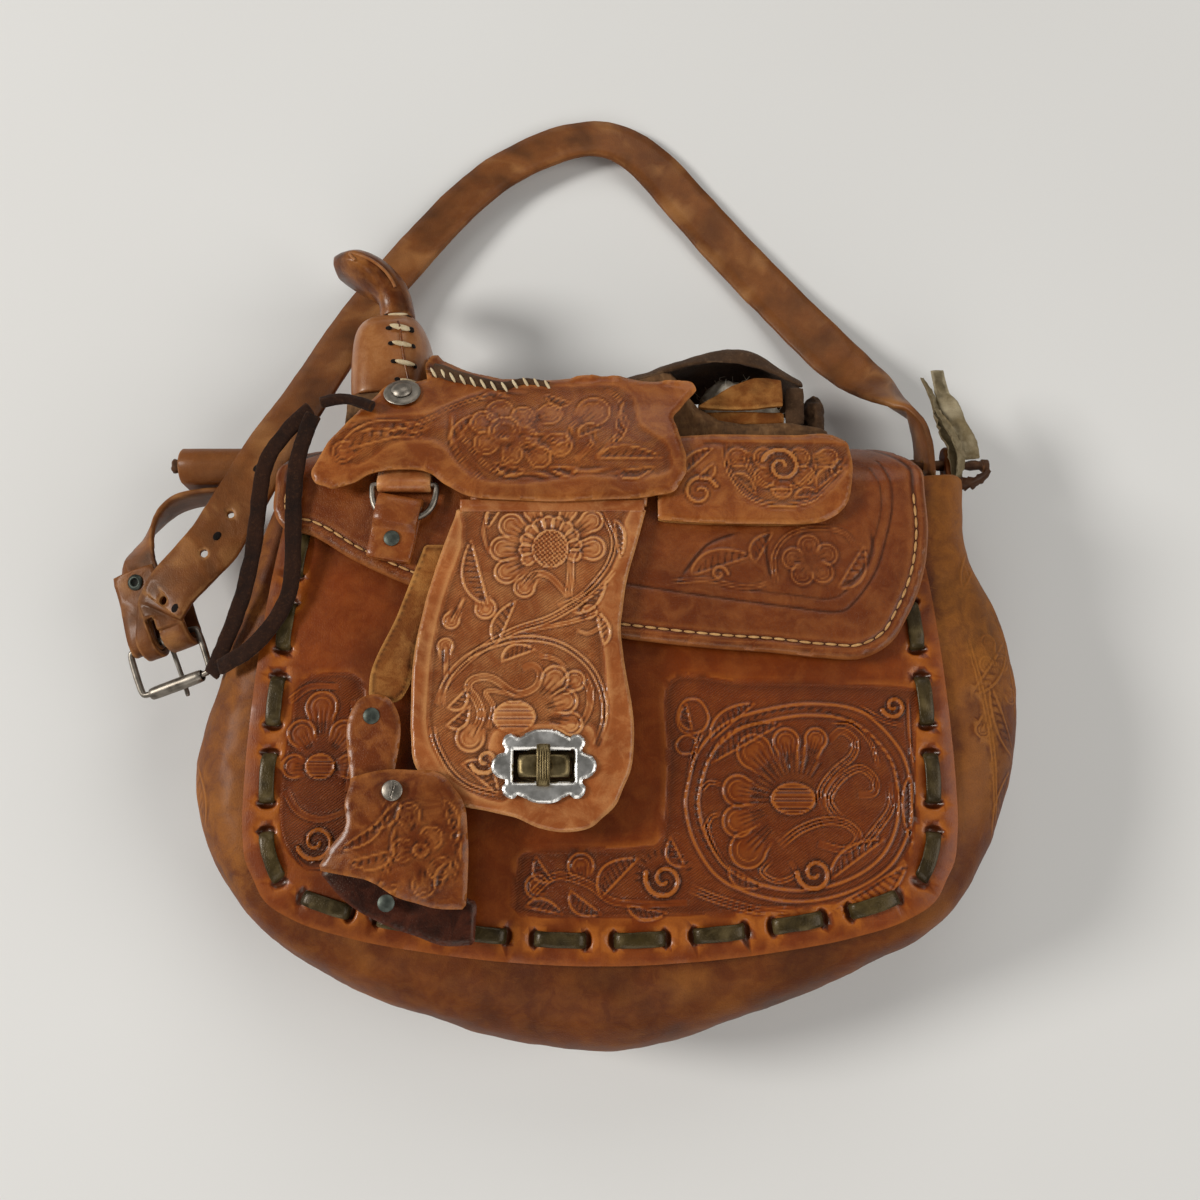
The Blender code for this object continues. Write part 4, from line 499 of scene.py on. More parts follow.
# A height map in millimetres over a piece, worked stroke by stroke as with leather tools
class Relief:
    margin = 3  # millimetres of the map beyond the piece

    def __init__(self, low, high, cell=0.4, corner=(0, 0), scale=1.0, level=0.09):
        self.cell, self.low = cell, (low[0] * 1000 - self.margin, low[1] * 1000 - self.margin)
        nx, ny = (int((high[k] - low[k]) * 1000 / cell + 2 * self.margin / cell) for k in (0, 1))
        self.x, self.y = np.meshgrid(self.low[0] + np.arange(nx) * cell, self.low[1] + np.arange(ny) * cell)
        self.high, self.ground = np.zeros_like(self.x), np.zeros_like(self.x)
        self.corner, self.scale, self.level = corner, scale, level

    def spot(self, point):
        # A place in an enlarged part of the photograph, in millimetres on the piece
        place = atPixel(self.corner[0] + point[0] / self.scale, self.corner[1] + point[1] / self.scale, self.level)
        return np.array((place.x * 1000, place.y * 1000))

    def size(self, pixels):
        return pixels / self.scale / view["pixelsPerMillimetre"]

    def curve(self, points, closed=False, steps=6):
        # A smooth path through places in the photograph, or a straight one between two
        spots = [self.spot(point) for point in points]
        if len(spots) == 2:
            return np.array([spots[0] + (spots[1] - spots[0]) * t for t in np.linspace(0, 1, steps)])
        return np.array(smoothRoute(spots, steps, closed))

    def window(self, path, margin):
        # The cells of the map that lie near a path
        left, under = (path.min(0) - margin - self.low) / self.cell
        right, over = (path.max(0) + margin - self.low) / self.cell
        ny, nx = self.x.shape
        return (slice(min(max(int(under), 0), ny), min(max(int(over) + 1, 0), ny)),
                slice(min(max(int(left), 0), nx), min(max(int(right) + 1, 0), nx)))

    def along(self, path, margin):
        # The cells near a path, their distance to it and the share of it that is passed there
        area = self.window(path, margin)
        x, y = self.x[area], self.y[area]
        best = np.full(x.shape, 1e9)
        share = np.zeros(x.shape)
        lengths = np.linalg.norm(np.diff(path, axis=0), axis=1)
        passed, total = 0.0, max(lengths.sum(), 1e-6)
        for a, b, length in zip(path, path[1:], lengths):
            if length < 1e-6:
                continue
            ux, uy = (b - a) / length
            t = np.clip((x - a[0]) * ux + (y - a[1]) * uy, 0, length)
            dx, dy = x - a[0] - t * ux, y - a[1] - t * uy
            distance = np.hypot(dx, dy)
            near = distance < best
            best = np.where(near, distance, best)
            share = np.where(near, (passed + t) / total, share)
            passed += length
        return area, best, share

    def groove(self, points, width=0.45, depth=0.35, taper=True):
        # A single cut, deepest in its middle
        area, distance, share = self.along(self.curve(points), 3)
        ends = np.clip(np.minimum(share, 1 - share) * 8, 0.25, 1) if taper else 1.0
        self.high[area] -= depth * ends * np.exp(-(distance / width) ** 2)

    def shape(self, area, inner, rise, bevel=1.0, cut=0.26, dish=0.0):
        # A raised ridge round the edge of a signed distance, with its inside a little up and a cut outside
        level = rise * 0.30 * np.clip(inner / bevel, 0, 1) - dish * np.clip((inner - bevel) / 1.5, 0, 1)
        here = np.where(inner > -0.2, level, self.high[area])
        here = here + rise * np.exp(-((inner - 0.32) / 0.34) ** 2)
        self.high[area] = here - cut * np.exp(-((inner + 0.42) / 0.30) ** 2)
        self.ground[area] = np.where(inner > -0.3, 0, self.ground[area])

    def berry(self, centre, across, tall, rise=0.34):
        # A raised berry with a ring and a dot pressed into it
        middle = self.spot(centre)
        a, b = self.size(across) / 2, self.size(tall) / 2
        reach = max(a, b) + 2
        area = self.window(np.array([middle - reach, middle + reach]), 0)
        x, y = self.x[area] - middle[0], self.y[area] - middle[1]
        inner = (1 - np.hypot(x / a, y / b)) * min(a, b)
        self.shape(area, inner, rise, dish=0.14)
        self.high[area] += 0.20 * np.exp(-((inner - 1.35) / 0.26) ** 2)
        self.high[area] -= 0.20 * np.exp(-(np.hypot(x, y) / 0.5) ** 2)

    def hatch(self, centre, across, tall, pitch=1.5, turn=40, cross=True):
        # A domed seed pod scored with lines
        middle = self.spot(centre)
        a, b = self.size(across) / 2, self.size(tall) / 2
        reach = max(a, b) + 2
        area = self.window(np.array([middle - reach, middle + reach]), 0)
        x, y = self.x[area] - middle[0], self.y[area] - middle[1]
        inner = (1 - np.hypot(x / a, y / b)) * min(a, b)
        self.shape(area, inner, 0.16, bevel=2.6, cut=0.18)
        for angle in ((turn, turn + 90) if cross else (turn,)):
            c, s = math.cos(math.radians(angle)), math.sin(math.radians(angle))
            line = np.abs(((x * c + y * s) / pitch) % 1 - 0.5) * pitch
            self.high[area] -= np.where(inner > 0.2, 0.42 * np.exp(-(line / 0.30) ** 2), 0)

    def scroll(self, centre, radius, turns=1.3, start=0.0, wide=1.5, hand=1, rise=0.34):
        # A raised curl that winds in to an eye
        middle = self.spot(centre)
        reach = self.size(radius)
        angles = np.linspace(0, turns * math.tau, 34)
        radii = reach * (1 - 0.82 * angles / angles[-1])
        path = np.stack([middle[0] + radii * np.cos(math.radians(start) + hand * angles),
                         middle[1] + radii * np.sin(math.radians(start) + hand * angles)], 1)
        area, distance, share = self.along(path, 3)
        self.shape(area, wide / 2 * (1.1 - 0.5 * share) - distance, rise, bevel=0.6)

    def line(self, path, width=0.45, rise=0.34, cut=0.16, fade=True):
        # A thin raised line with a cut along both sides; the path is in millimetres
        area, distance, share = self.along(path, 2.5)
        ends = np.clip(np.minimum(share, 1 - share) * 9, 0.25, 1) if fade else 1.0
        self.high[area] += ends * (rise * np.exp(-(distance / width) ** 2)
                                   - cut * np.exp(-((distance - 2.1 * width) / (0.9 * width)) ** 2))
        self.ground[area] *= np.clip((distance - width) / width, 0, 1)

    def stroke(self, path, width=0.32, depth=0.32):
        # A short cut; the path is in millimetres
        area, distance, share = self.along(path, 2)
        ends = np.clip(np.minimum(share, 1 - share) * 6, 0.2, 1)
        self.high[area] -= depth * ends * np.exp(-(distance / width) ** 2)

    def ridge(self, points, width, rise):
        # A raised line that closes on itself
        path = self.curve(points, closed=True)
        self.line(np.vstack([path, path[:1]]), width, rise, fade=False)

    def bundle(self, points, count=3, gap=1.5, narrow=0.62, width=0.36, rise=0.34):
        # Raised lines side by side that draw together towards the end
        path = self.curve(points)
        way = np.gradient(path, axis=0)
        side = np.stack([-way[:, 1], way[:, 0]], 1) / np.maximum(np.linalg.norm(way, axis=1), 1e-6)[:, None]
        share = np.linspace(1, narrow, len(path))[:, None]
        for k in range(count):
            self.line(path + side * share * (k - (count - 1) / 2) * gap, width, rise, 0.24)

    def cup(self, centre, size, toward, strokes=2, rise=0.34):
        # A petal: a raised line round its far side, and cuts that run in to the flower's middle
        middle, target = self.spot(centre), self.spot(toward)
        reach = self.size(size) / 2
        out = math.atan2(middle[1] - target[1], middle[0] - target[0])
        angles = out + np.linspace(-2.2, 2.2, 26)
        arc = middle + reach * np.stack([np.cos(angles), np.sin(angles)], 1)
        arc = np.vstack([arc[:1] + (target - arc[:1]) * 0.2, arc, arc[-1:] + (target - arc[-1:]) * 0.2])
        area = self.window(arc, 1)
        x, y = self.x[area] - middle[0], self.y[area] - middle[1]
        dome = np.clip(1 - (x * x + y * y) / reach ** 2, 0, 1)
        self.high[area] += 0.20 * np.sqrt(dome)
        self.ground[area] *= dome == 0
        self.line(arc, 0.42, rise)
        if reach > 2.4:
            self.line(middle + (arc[3:-3] - middle) * 0.62, 0.32, rise * 0.5)
        across = np.array([math.sin(out), -math.cos(out)]) * reach * 0.5
        for k in range(strokes):
            start = middle + across * ((k + 0.5) / strokes * 2 - 1)
            self.stroke(np.array([start, start + (target - start) * 0.5]))

    def feather(self, base, tip, wide, cuts=8, hand=1, rise=0.34):
        # A frond: slanted cuts on one side of its spine, inside a curved rim
        a, b = self.spot(base), self.spot(tip)
        way = b - a
        side = np.array([-way[1], way[0]]) / np.linalg.norm(way) * hand * self.size(wide)
        share = np.linspace(0, 1, 20)[:, None]
        self.line(a + way * share + side * np.sin(math.pi * share ** 0.8) ** 0.8, 0.42, rise)
        self.line(a + way * share, 0.42, rise * 0.8)
        for t in (np.arange(cuts) + 1) / (cuts + 1):
            end = a + way * (t + 0.9 / (cuts + 1)) + side * 0.8 * math.sin(math.pi * t ** 0.8) ** 0.8
            self.stroke(np.array([a + way * t, end]), 0.30, 0.36)

    def field(self, points, depth=0.45, bevel=1.6, stipple=1.0):
        # The lowered, stippled ground inside an outline
        path = self.curve(points, closed=True)
        path = np.vstack([path, path[:1]])
        area, distance, _ = self.along(path, 3)
        x, y = self.x[area], self.y[area]
        cells = np.stack([x.ravel(), y.ravel()], 1)
        held = inside(cells, [Vector(p) for p in path[:-1]]).reshape(x.shape)
        inner = np.where(held, distance, -distance)
        self.high[area] -= depth * np.clip(inner / bevel + 0.15, 0, 1)
        self.high[area] -= 0.22 * np.exp(-(inner / 0.4) ** 2)
        self.ground[area] = np.maximum(self.ground[area], stipple * np.clip(inner, 0, 1))

    def edging(self, loop, inset, width=0.45, depth=0.25):
        # A line that runs inside the edge
        path = np.array([(p.x * 1000, p.y * 1000) for p in insetRoute(loop, inset / 1000)])
        area, distance, _ = self.along(np.vstack([path, path[:1]]), 2)
        self.high[area] -= depth * np.exp(-(distance / width) ** 2)

    def pit(self, spot, along, across, turn, depth=1.2):
        # A hole pressed down by the lace that goes into it
        area = self.window(np.array([spot, spot]), max(along, across) + 2)
        x, y = self.x[area] - spot[0], self.y[area] - spot[1]
        c, s = math.cos(turn), math.sin(turn)
        reach = np.hypot((x * c + y * s) / (along / 2), (-x * s + y * c) / (across / 2))
        self.high[area] -= depth * np.clip(1.6 - reach, 0, 1) ** 1.2

    def blurred(self, values, cells):
        # A box blur in both directions, run twice
        for _ in range(2):
            for axis in (0, 1):
                total = np.cumsum(np.pad(values, [(cells + 1, cells) if k == axis else (0, 0) for k in (0, 1)],
                                         mode="edge"), axis)
                size = values.shape[axis]
                after = np.take(total, np.arange(2 * cells + 1, size + 2 * cells + 1), axis)
                before = np.take(total, np.arange(0, size), axis)
                values = (after - before) / (2 * cells + 1)
        return values

    def read(self, values, spots):
        # Values between the cells, at many points in metres
        u = (spots[:, 0] * 1000 - self.low[0]) / self.cell
        v = (spots[:, 1] * 1000 - self.low[1]) / self.cell
        ny, nx = values.shape
        i, j = np.clip(u.astype(int), 0, nx - 2), np.clip(v.astype(int), 0, ny - 2)
        s, t = np.clip(u - i, 0, 1), np.clip(v - j, 0, 1)
        return (values[j, i] * (1 - s) * (1 - t) + values[j, i + 1] * s * (1 - t)
                + values[j + 1, i] * (1 - s) * t + values[j + 1, i + 1] * s * t)


def reliefFor(node, **settings):
    low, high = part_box(node)
    return Relief(low, high, **settings)


sheetPiece = {"rimGap": 0.42, "worked": 0.05, "busy": 0.08, "rawRim": 0.75, "longLoop": 300,
              "blurs": (1.6, 0.8, 4)}  # the blurs in millimetres


def sheet(name, look, body, loops, thickness, step, place=None, solid=None, relief=None, roundness=0.0009, wave=0.0,
          waveScale=45, replaced=(), scuffs=0.0016, finer=0, sharp=55):
    # A fine leather sheet inside its outlines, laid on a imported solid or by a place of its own
    mesh = bmesh.new()
    rims = np.array([(p.x, p.y) for loop in loops for p in loop])
    low, high = rims.min(0), rims.max(0)
    wide, tall = high - low + 2 * step
    centre = (low + high) / 2
    shape = Matrix.Translation((*centre, 0)) @ Matrix.Diagonal((wide, tall, 1, 1))
    bmesh.ops.create_grid(mesh, x_segments=max(int(wide / step), 2), y_segments=max(int(tall / step), 2), size=0.5,
                          matrix=shape)
    rimTree = KDTree(len(rims))
    for index, (x, y) in enumerate(rims):
        rimTree.insert((x, y, 0), index)
    rimTree.balance()
    verts = mesh.verts[:]
    spots = np.array([vert.co[:2] for vert in verts])
    held = np.zeros(len(spots), bool)
    for loop in loops:
        held ^= inside(spots, loop[::3] if len(loop) > sheetPiece["longLoop"] else loop)
    far = np.array([rimTree.find(vert.co)[2] if ok else 0.0 for vert, ok in zip(verts, held)])
    gone = [vert for vert, ok, reach in zip(verts, held, far) if not ok or reach < sheetPiece["rimGap"] * step]
    bmesh.ops.delete(mesh, geom=gone, context="VERTS")
    loose = [vert for vert in mesh.verts if not vert.link_faces]
    bmesh.ops.delete(mesh, geom=loose, context="VERTS")
    for vert in mesh.verts:
        if vert.is_boundary:
            vert.co.xy = rimTree.find(vert.co)[0].xy
    inner = [vert for vert in mesh.verts if not vert.is_boundary]
    bmesh.ops.smooth_vert(mesh, verts=inner, factor=0.4, use_axis_x=True, use_axis_y=True, use_axis_z=False)
    if finer:
        # more faces where the leather is tooled
        worked = relief.blurred((np.abs(relief.high) > sheetPiece["worked"]).astype(float), 3)
        busy = relief.read(worked, np.array([vert.co[:2] for vert in mesh.verts])) > sheetPiece["busy"]
        mesh.verts.index_update()
        edges = [e for e in mesh.edges if busy[e.verts[0].index] and busy[e.verts[1].index] and not e.is_boundary]
        bmesh.ops.subdivide_edges(mesh, edges=edges, cuts=finer, use_grid_fill=True)
    flat = np.array([vert.co[:2] for vert in mesh.verts])
    reach = np.array([rimTree.find(Vector((vert.co.x, vert.co.y, 0)))[2] for vert in mesh.verts])
    if place is None:
        tree = BVHTree.FromBMesh(solid)
        top = max(vert.co.z for vert in solid.verts) + 0.01
        for vert, (x, y) in zip(mesh.verts, flat):
            hit = tree.ray_cast(Vector((x, y, top)), Vector((0, 0, -1)))[0]
            vert.co.z = (hit or tree.find_nearest(Vector((x, y, top)))[0]).z
        for _ in range(4):
            bmesh.ops.smooth_vert(mesh, verts=mesh.verts[:], factor=0.5, use_axis_x=False, use_axis_y=False,
                                  use_axis_z=True)
    work = np.zeros(len(flat))
    shade_and_highlight, ground = np.zeros(len(flat)), np.zeros(len(flat))
    if relief is not None:
        work = relief.read(relief.high, flat) / 1000
        middling, narrow, broad = (relief.blurred(relief.high, int(size / relief.cell))
                                   for size in sheetPiece["blurs"])
        # Painted shade and highlight: the relief's height against its local average, low in the cuts and high on the
        # ridges
        shade_and_highlight = relief.read(relief.high - middling + (narrow - broad) * 0.35, flat)
        ground = relief.read(relief.ground, flat)
    if wave:
        work = work + rumple(np.c_[flat, np.zeros(len(flat))], waveScale, 3, seed=len(name)) * wave
    edge = np.clip(1 - reach / roundness, 0, 1)
    work = work - roundness * (1 - np.sqrt(np.clip(1 - edge ** 2, 0, 1)))
    rim = np.clip(1 - reach / scuffs, 0, 1)
    layers = [mesh.verts.layers.float.new(key) for key in ("shade_and_highlight", "ground", "rim")]
    for index, vert in enumerate(mesh.verts):
        for layer, values in zip(layers, (shade_and_highlight, ground, rim)):
            vert[layer] = float(values[index])
    lower = mesh.verts[:]
    lifts = {vert: work[index] for index, vert in enumerate(lower)}
    grown = bmesh.ops.extrude_face_region(mesh, geom=mesh.faces[:])
    upper = [item for item in grown["geom"] if isinstance(item, bmesh.types.BMVert)]
    kept = {tuple(round(v, 7) for v in vert.co): vert for vert in lower}
    for vert in upper:
        match = kept[tuple(round(v, 7) for v in vert.co)]
        if place is None:
            vert.co.z += lifts[match]
        else:
            vert.co = place(vert.co.x, vert.co.y, thickness + lifts[match])
    for index, vert in enumerate(lower):
        for layer, value in zip(layers, (0.0, 0.0, sheetPiece["rawRim"])):
            vert[layer] = value  # the raw side under it is plain and paler
        rise = roundness * 0.5 * (1 - math.sqrt(max(1 - edge[index] ** 2, 0)))
        if place is None:
            vert.co.z -= thickness - rise
        else:
            vert.co = place(vert.co.x, vert.co.y, rise)
    bmesh.ops.recalc_face_normals(mesh, faces=mesh.faces[:])
    return dress(name, mesh, look, body, replaced, sharp)


def sheetFrom(node, look, step, relief=None, holes=0.030, **settings):
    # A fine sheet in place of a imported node, with its outline eased and its larger holes kept
    solid = solidOf(node)
    loops = loopsOf(solid)
    rims = [eased(loops[0])] + [eased(loop, 30) for loop in loops[1:] if lengthOf(loop) > holes]
    tree = BVHTree.FromBMesh(solid)
    middle = max(solid.faces, key=lambda face: face.calc_area() * (face.normal.z > 0.45))
    spot = middle.calc_center_median()
    under = tree.ray_cast(spot - middle.normal * 1e-5, -middle.normal)
    thickness = under[3] if under[0] is not None else 0.002
    sheet(node, look, bodyOf[node], rims, thickness, step, solid=solid, relief=relief, replaced=[node], **settings)
    solid.free()


solidTrees = {}


def treeOf(node):
    if node not in solidTrees:
        solid = solidOf(node)
        solidTrees[node] = BVHTree.FromBMesh(solid)
        solid.free()
    return solidTrees[node]


def onPart(px, py, *nodes, height=0.085):
    # The point and the way out where a pixel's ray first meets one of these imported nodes
    target = atPixel(px, py, height)
    ray = (target - viewPoint).normalized()
    hits = [hit for hit in (treeOf(node).ray_cast(viewPoint, ray) for node in nodes) if hit[0] is not None]
    if not hits:
        hits = [treeOf(node).find_nearest(target) for node in nodes]
    return min(hits, key=lambda hit: hit[3])[:2]


def beads(name, look, body, rows, sharp=70):
    # Flattened beads, one for each stitch: centre, direction, way out and half sizes
    mesh = bmesh.new()
    for centre, along, up, half in rows:
        along = (along - up * along.dot(up)).normalized()
        side = up.cross(along)
        turn = Matrix((side * half[1], up * half[2], along * half[0])).transposed().to_4x4()
        turn.translation = centre
        bmesh.ops.create_uvsphere(mesh, u_segments=10, v_segments=7, radius=1, matrix=turn)
    return dress(name, mesh, look, body, sharp=sharp)


def strand(name, look, body, routes, radius, shares=None, sides=3):
    # Round threads or rolls along smooth routes, as one piece
    curve = bpy.data.curves.new(name, "CURVE")
    curve.dimensions = "3D"
    curve.bevel_depth = radius
    curve.bevel_resolution = sides
    curve.use_fill_caps = True
    for route in routes:
        spline = curve.splines.new("POLY")
        spline.points.add(len(route) - 1)
        for index, (point, target) in enumerate(zip(spline.points, route)):
            point.co = (*target, 1)
            point.radius = 1 if shares is None else shares[index]
    made = bpy.data.objects.new("winding", curve)
    bpy.context.scene.collection.objects.link(made)
    data = bpy.data.meshes.new_from_object(made.evaluated_get(bpy.context.evaluated_depsgraph_get()))
    bpy.data.objects.remove(made)
    data.name = name
    return dressData(name, data, look, body, sharp=70)


def spaced(route, pitch):
    # Points at an even pace along a route, each with its direction
    made, left = [], 0.0
    for a, b in zip(route, route[1:]):
        span = (b - a).length
        while left <= span and span > 0:
            made.append((a.lerp(b, left / span), (b - a).normalized()))
            left += pitch
        left -= span
    return made


# Panels: the front with its tooled fields, and the plain back
frontPiece = {"step": 0.0025, "finer": 3, "cell": 0.33, "corner": (640, 660), "scale": 4.9, "level": 0.0745,
              "press": 1.35, "pit": (3.6, 6.0), "pitInset": 0.0002, "laceHeight": 0.066, "laceReach": 0.004}


def tooledFront():
    work = reliefFor("front_panel", cell=frontPiece["cell"], corner=frontPiece["corner"],
                     scale=frontPiece["scale"], level=frontPiece["level"])
    work.field([(150, 105), (500, 112), (900, 118), (1330, 140), (1356, 200), (1350, 520), (1340, 850), (1270, 1000),
                (1110, 1140), (900, 1200), (600, 1225), (250, 1248), (-100, 1262), (-420, 1262), (-600, 1235),
                (-618, 1150), (-600, 1030), (-560, 950), (-300, 935), (0, 920), (110, 860), (140, 500)],
               0.34, 1.6, 0.55)
    work.field([(-1650, 98), (-1372, 98), (-1365, 500), (-1372, 860), (-1450, 980), (-1560, 1029), (-1680, 990),
                (-1760, 860), (-1765, 640), (-1710, 300)], 0.34, 1.6, 0.55)
    ring = [(225, 740), (232, 620), (290, 440), (430, 305), (640, 240), (850, 215), (1080, 250), (1250, 400),
            (1322, 560), (1330, 800), (1240, 1000), (1050, 1130), (800, 1185), (560, 1150), (380, 1060), (270, 900)]
    middle, flower = (780, 700), (765, 690)
    for share in (1.0, 0.885):
        work.ridge([(middle[0] + (x - middle[0]) * share, middle[1] + (y - middle[1]) * share) for x, y in ring],
                   0.5, 0.36)
    for k in range(40):
        angle = math.radians(150 + 5.2 * k)
        ends = [(middle[0] + far * math.cos(angle + turn), middle[1] + 0.92 * far * math.sin(angle + turn))
                for far, turn in ((498, 0), (512, 0.055))]
        work.groove(ends, 0.4, 0.3)
    for centre, size in (((560, 450), 165), ((715, 400), 125), ((862, 388), 104), ((480, 640), 145),
                         ((480, 790), 145), ((530, 930), 170)):
        work.cup(centre, size, flower, 3)
    for k in range(15):
        angle = math.radians(-182 + 9 * k)
        work.groove([(flower[0] + far * math.cos(angle), flower[1] + far * math.sin(angle)) for far in (128, 232)],
                    0.36, 0.34)
    work.hatch((752, 680), 210, 150, 1.5, 90, cross=False)
    for count, points in (
            (3, [(905, 720), (890, 640), (950, 550), (1040, 470), (1055, 395), (985, 345), (930, 395)]),
            (3, [(985, 780), (925, 690), (975, 590), (1075, 530), (1150, 580), (1150, 650), (1075, 660)]),
            (3, [(690, 905), (780, 835), (900, 790), (1010, 800), (1075, 865), (1010, 930), (880, 900)]),
            (2, [(940, 300), (1040, 310), (1130, 400), (1170, 520)]),
            (3, [(1090, 920), (1170, 820), (1235, 720), (1240, 600)]),
            (2, [(640, 985), (600, 1040), (680, 1085), (765, 1050), (740, 990)]),
            (2, [(320, 780), (345, 880), (400, 980), (460, 1040)]),
            (2, [(300, 640), (340, 600), (400, 612)]), (2, [(320, 830), (350, 770), (395, 755)]),
            (3, [(250, 1120), (400, 1180), (600, 1230), (760, 1222)]), (2, [(1080, 232), (1190, 290), (1290, 320)]),
            (1, [(1315, 190), (1325, 380), (1345, 520)]), (2, [(300, 350), (265, 450), (240, 560)])):
        work.bundle(points, count)
    work.scroll((860, 1045), 84, 1.4, 180, 1.5)
    work.scroll((1245, 225), 58, 1.3, 200, 1.4)
    work.scroll((120, 1075), 92, 1.4, 160, 1.5)
    for base, tip, wide, cuts, hand in (
            ((350, 505), (690, 315), 85, 11, 1), ((950, 1218), (1310, 1000), 100, 11, -1),
            ((940, 1075), (1200, 880), 70, 8, 1), ((350, 395), (560, 215), 70, 8, 1),
            ((255, 345), (225, 215), 50, 4, 1), ((1335, 560), (1340, 900), 44, 9, -1),
            ((220, 1010), (150, 870), 60, 5, 1), ((440, 1010), (600, 1110), 60, 5, -1),
            ((-190, 1165), (-10, 975), 90, 8, 1), ((-340, 1130), (-190, 1245), 66, 6, -1),
            ((-560, 1210), (-380, 1246), 50, 6, 1), ((-60, 1205), (130, 1240), 50, 6, -1),
            ((-430, 1080), (-510, 965), 60, 5, 1)):
        work.feather(base, tip, wide, cuts, hand)
    for points in ([(180, 290), (215, 205), (290, 200), (335, 280), (300, 350), (215, 355)],
                   [(175, 415), (215, 372), (272, 388), (265, 450), (200, 458)]):
        work.ridge(points, 0.42, 0.32)
    for k in range(12):
        angle = math.radians(175 + 15 * k)
        work.groove([(120 + far * math.cos(angle), 1070 + far * math.sin(angle)) for far in (112, 146)], 0.34, 0.3)
    work.bundle([(-560, 1180), (-420, 1060), (-260, 1095), (-140, 1180), (20, 1196), (230, 1190)], 3, 1.3, 0.6)
    for centre, size, toward in (((-290, 1010), 120, (-270, 1120)), ((-505, 1110), 110, (-400, 1150)),
                                 ((-1560, 230), 150, (-1570, 520)), ((-1660, 360), 130, (-1570, 520)),
                                 ((-1450, 360), 130, (-1570, 520)), ((-1700, 520), 110, (-1570, 540)),
                                 ((-1430, 520), 110, (-1570, 540)), ((-1440, 960), 90, (-1560, 900))):
        work.cup(centre, size, toward, 3)
    work.hatch((-1570, 520), 140, 120, 1.1, 90, cross=False)
    for points in ([(-1740, 640), (-1680, 740), (-1570, 780), (-1440, 740)], [(-1400, 200), (-1390, 400), (-1440, 640)],
                   [(-1720, 200), (-1620, 130), (-1480, 130)], [(-1700, 900), (-1640, 1000), (-1540, 1010)]):
        work.bundle(points, 3, 1.1)
    work.scroll((-1590, 890), 92, 1.4, 200, 1.5)
    work.high *= frontPiece["press"]
    for middle, along, half in laceStitches():
        turn = math.atan2(along.y, along.x)
        for end in (-1, 1):
            spot = (middle + along * (half - frontPiece["pitInset"]) * end) * 1000
            work.pit(np.array(spot.xy), *frontPiece["pit"], turn)
    return work


def laceStitches():
    # The middle, direction and half length of each stitch of the edge lacing that shows on the front
    solid = solidOf("edge_lace")
    height = frontPiece["laceHeight"]
    upper = {face for face in solid.faces if face.normal.z > 0.8 and face.calc_center_median().z > height}
    made = []
    while upper:
        group, queue = set(), [upper.pop()]
        while queue:
            face = queue.pop()
            group.update(face.verts)
            for edge in face.edges:
                for other in edge.link_faces:
                    if other in upper:
                        upper.remove(other)
                        queue.append(other)
        spots = np.array([vert.co for vert in group])
        middle = spots.mean(0)
        _, _, ways = np.linalg.svd(spots - middle)
        reach = np.abs((spots - middle) @ ways[0]).max()
        if reach > frontPiece["laceReach"]:
            made.append((Vector(middle), Vector(ways[0]), reach))
    solid.free()
    return made


sheetFrom("front_panel", "front", frontPiece["step"], tooledFront(), finer=frontPiece["finer"], wave=0.00025,
          scuffs=0.004)
sheetFrom("back_panel", "back", 0.004, wave=0.0004, scuffs=0.004)
rounded("hinge_leaf", "back", 1)
print("panels dressed")

# Gusset, edge lacing and the lugs
gussetPiece = {"levels": 3, "finer": 3, "wrinkle": 0.0011, "scale": 34, "wear": 0.005, "side": 0.125,
               "above": 0.02, "lean": 0.3, "press": 0.0008, "worked": 0.05, "busy": 0.12}
gussetSkin = rounded("gusset", "gusset", gussetPiece["levels"], 0.6, 42, gussetPiece["wrinkle"],
                     gussetPiece["scale"], wear=gussetPiece["wear"])


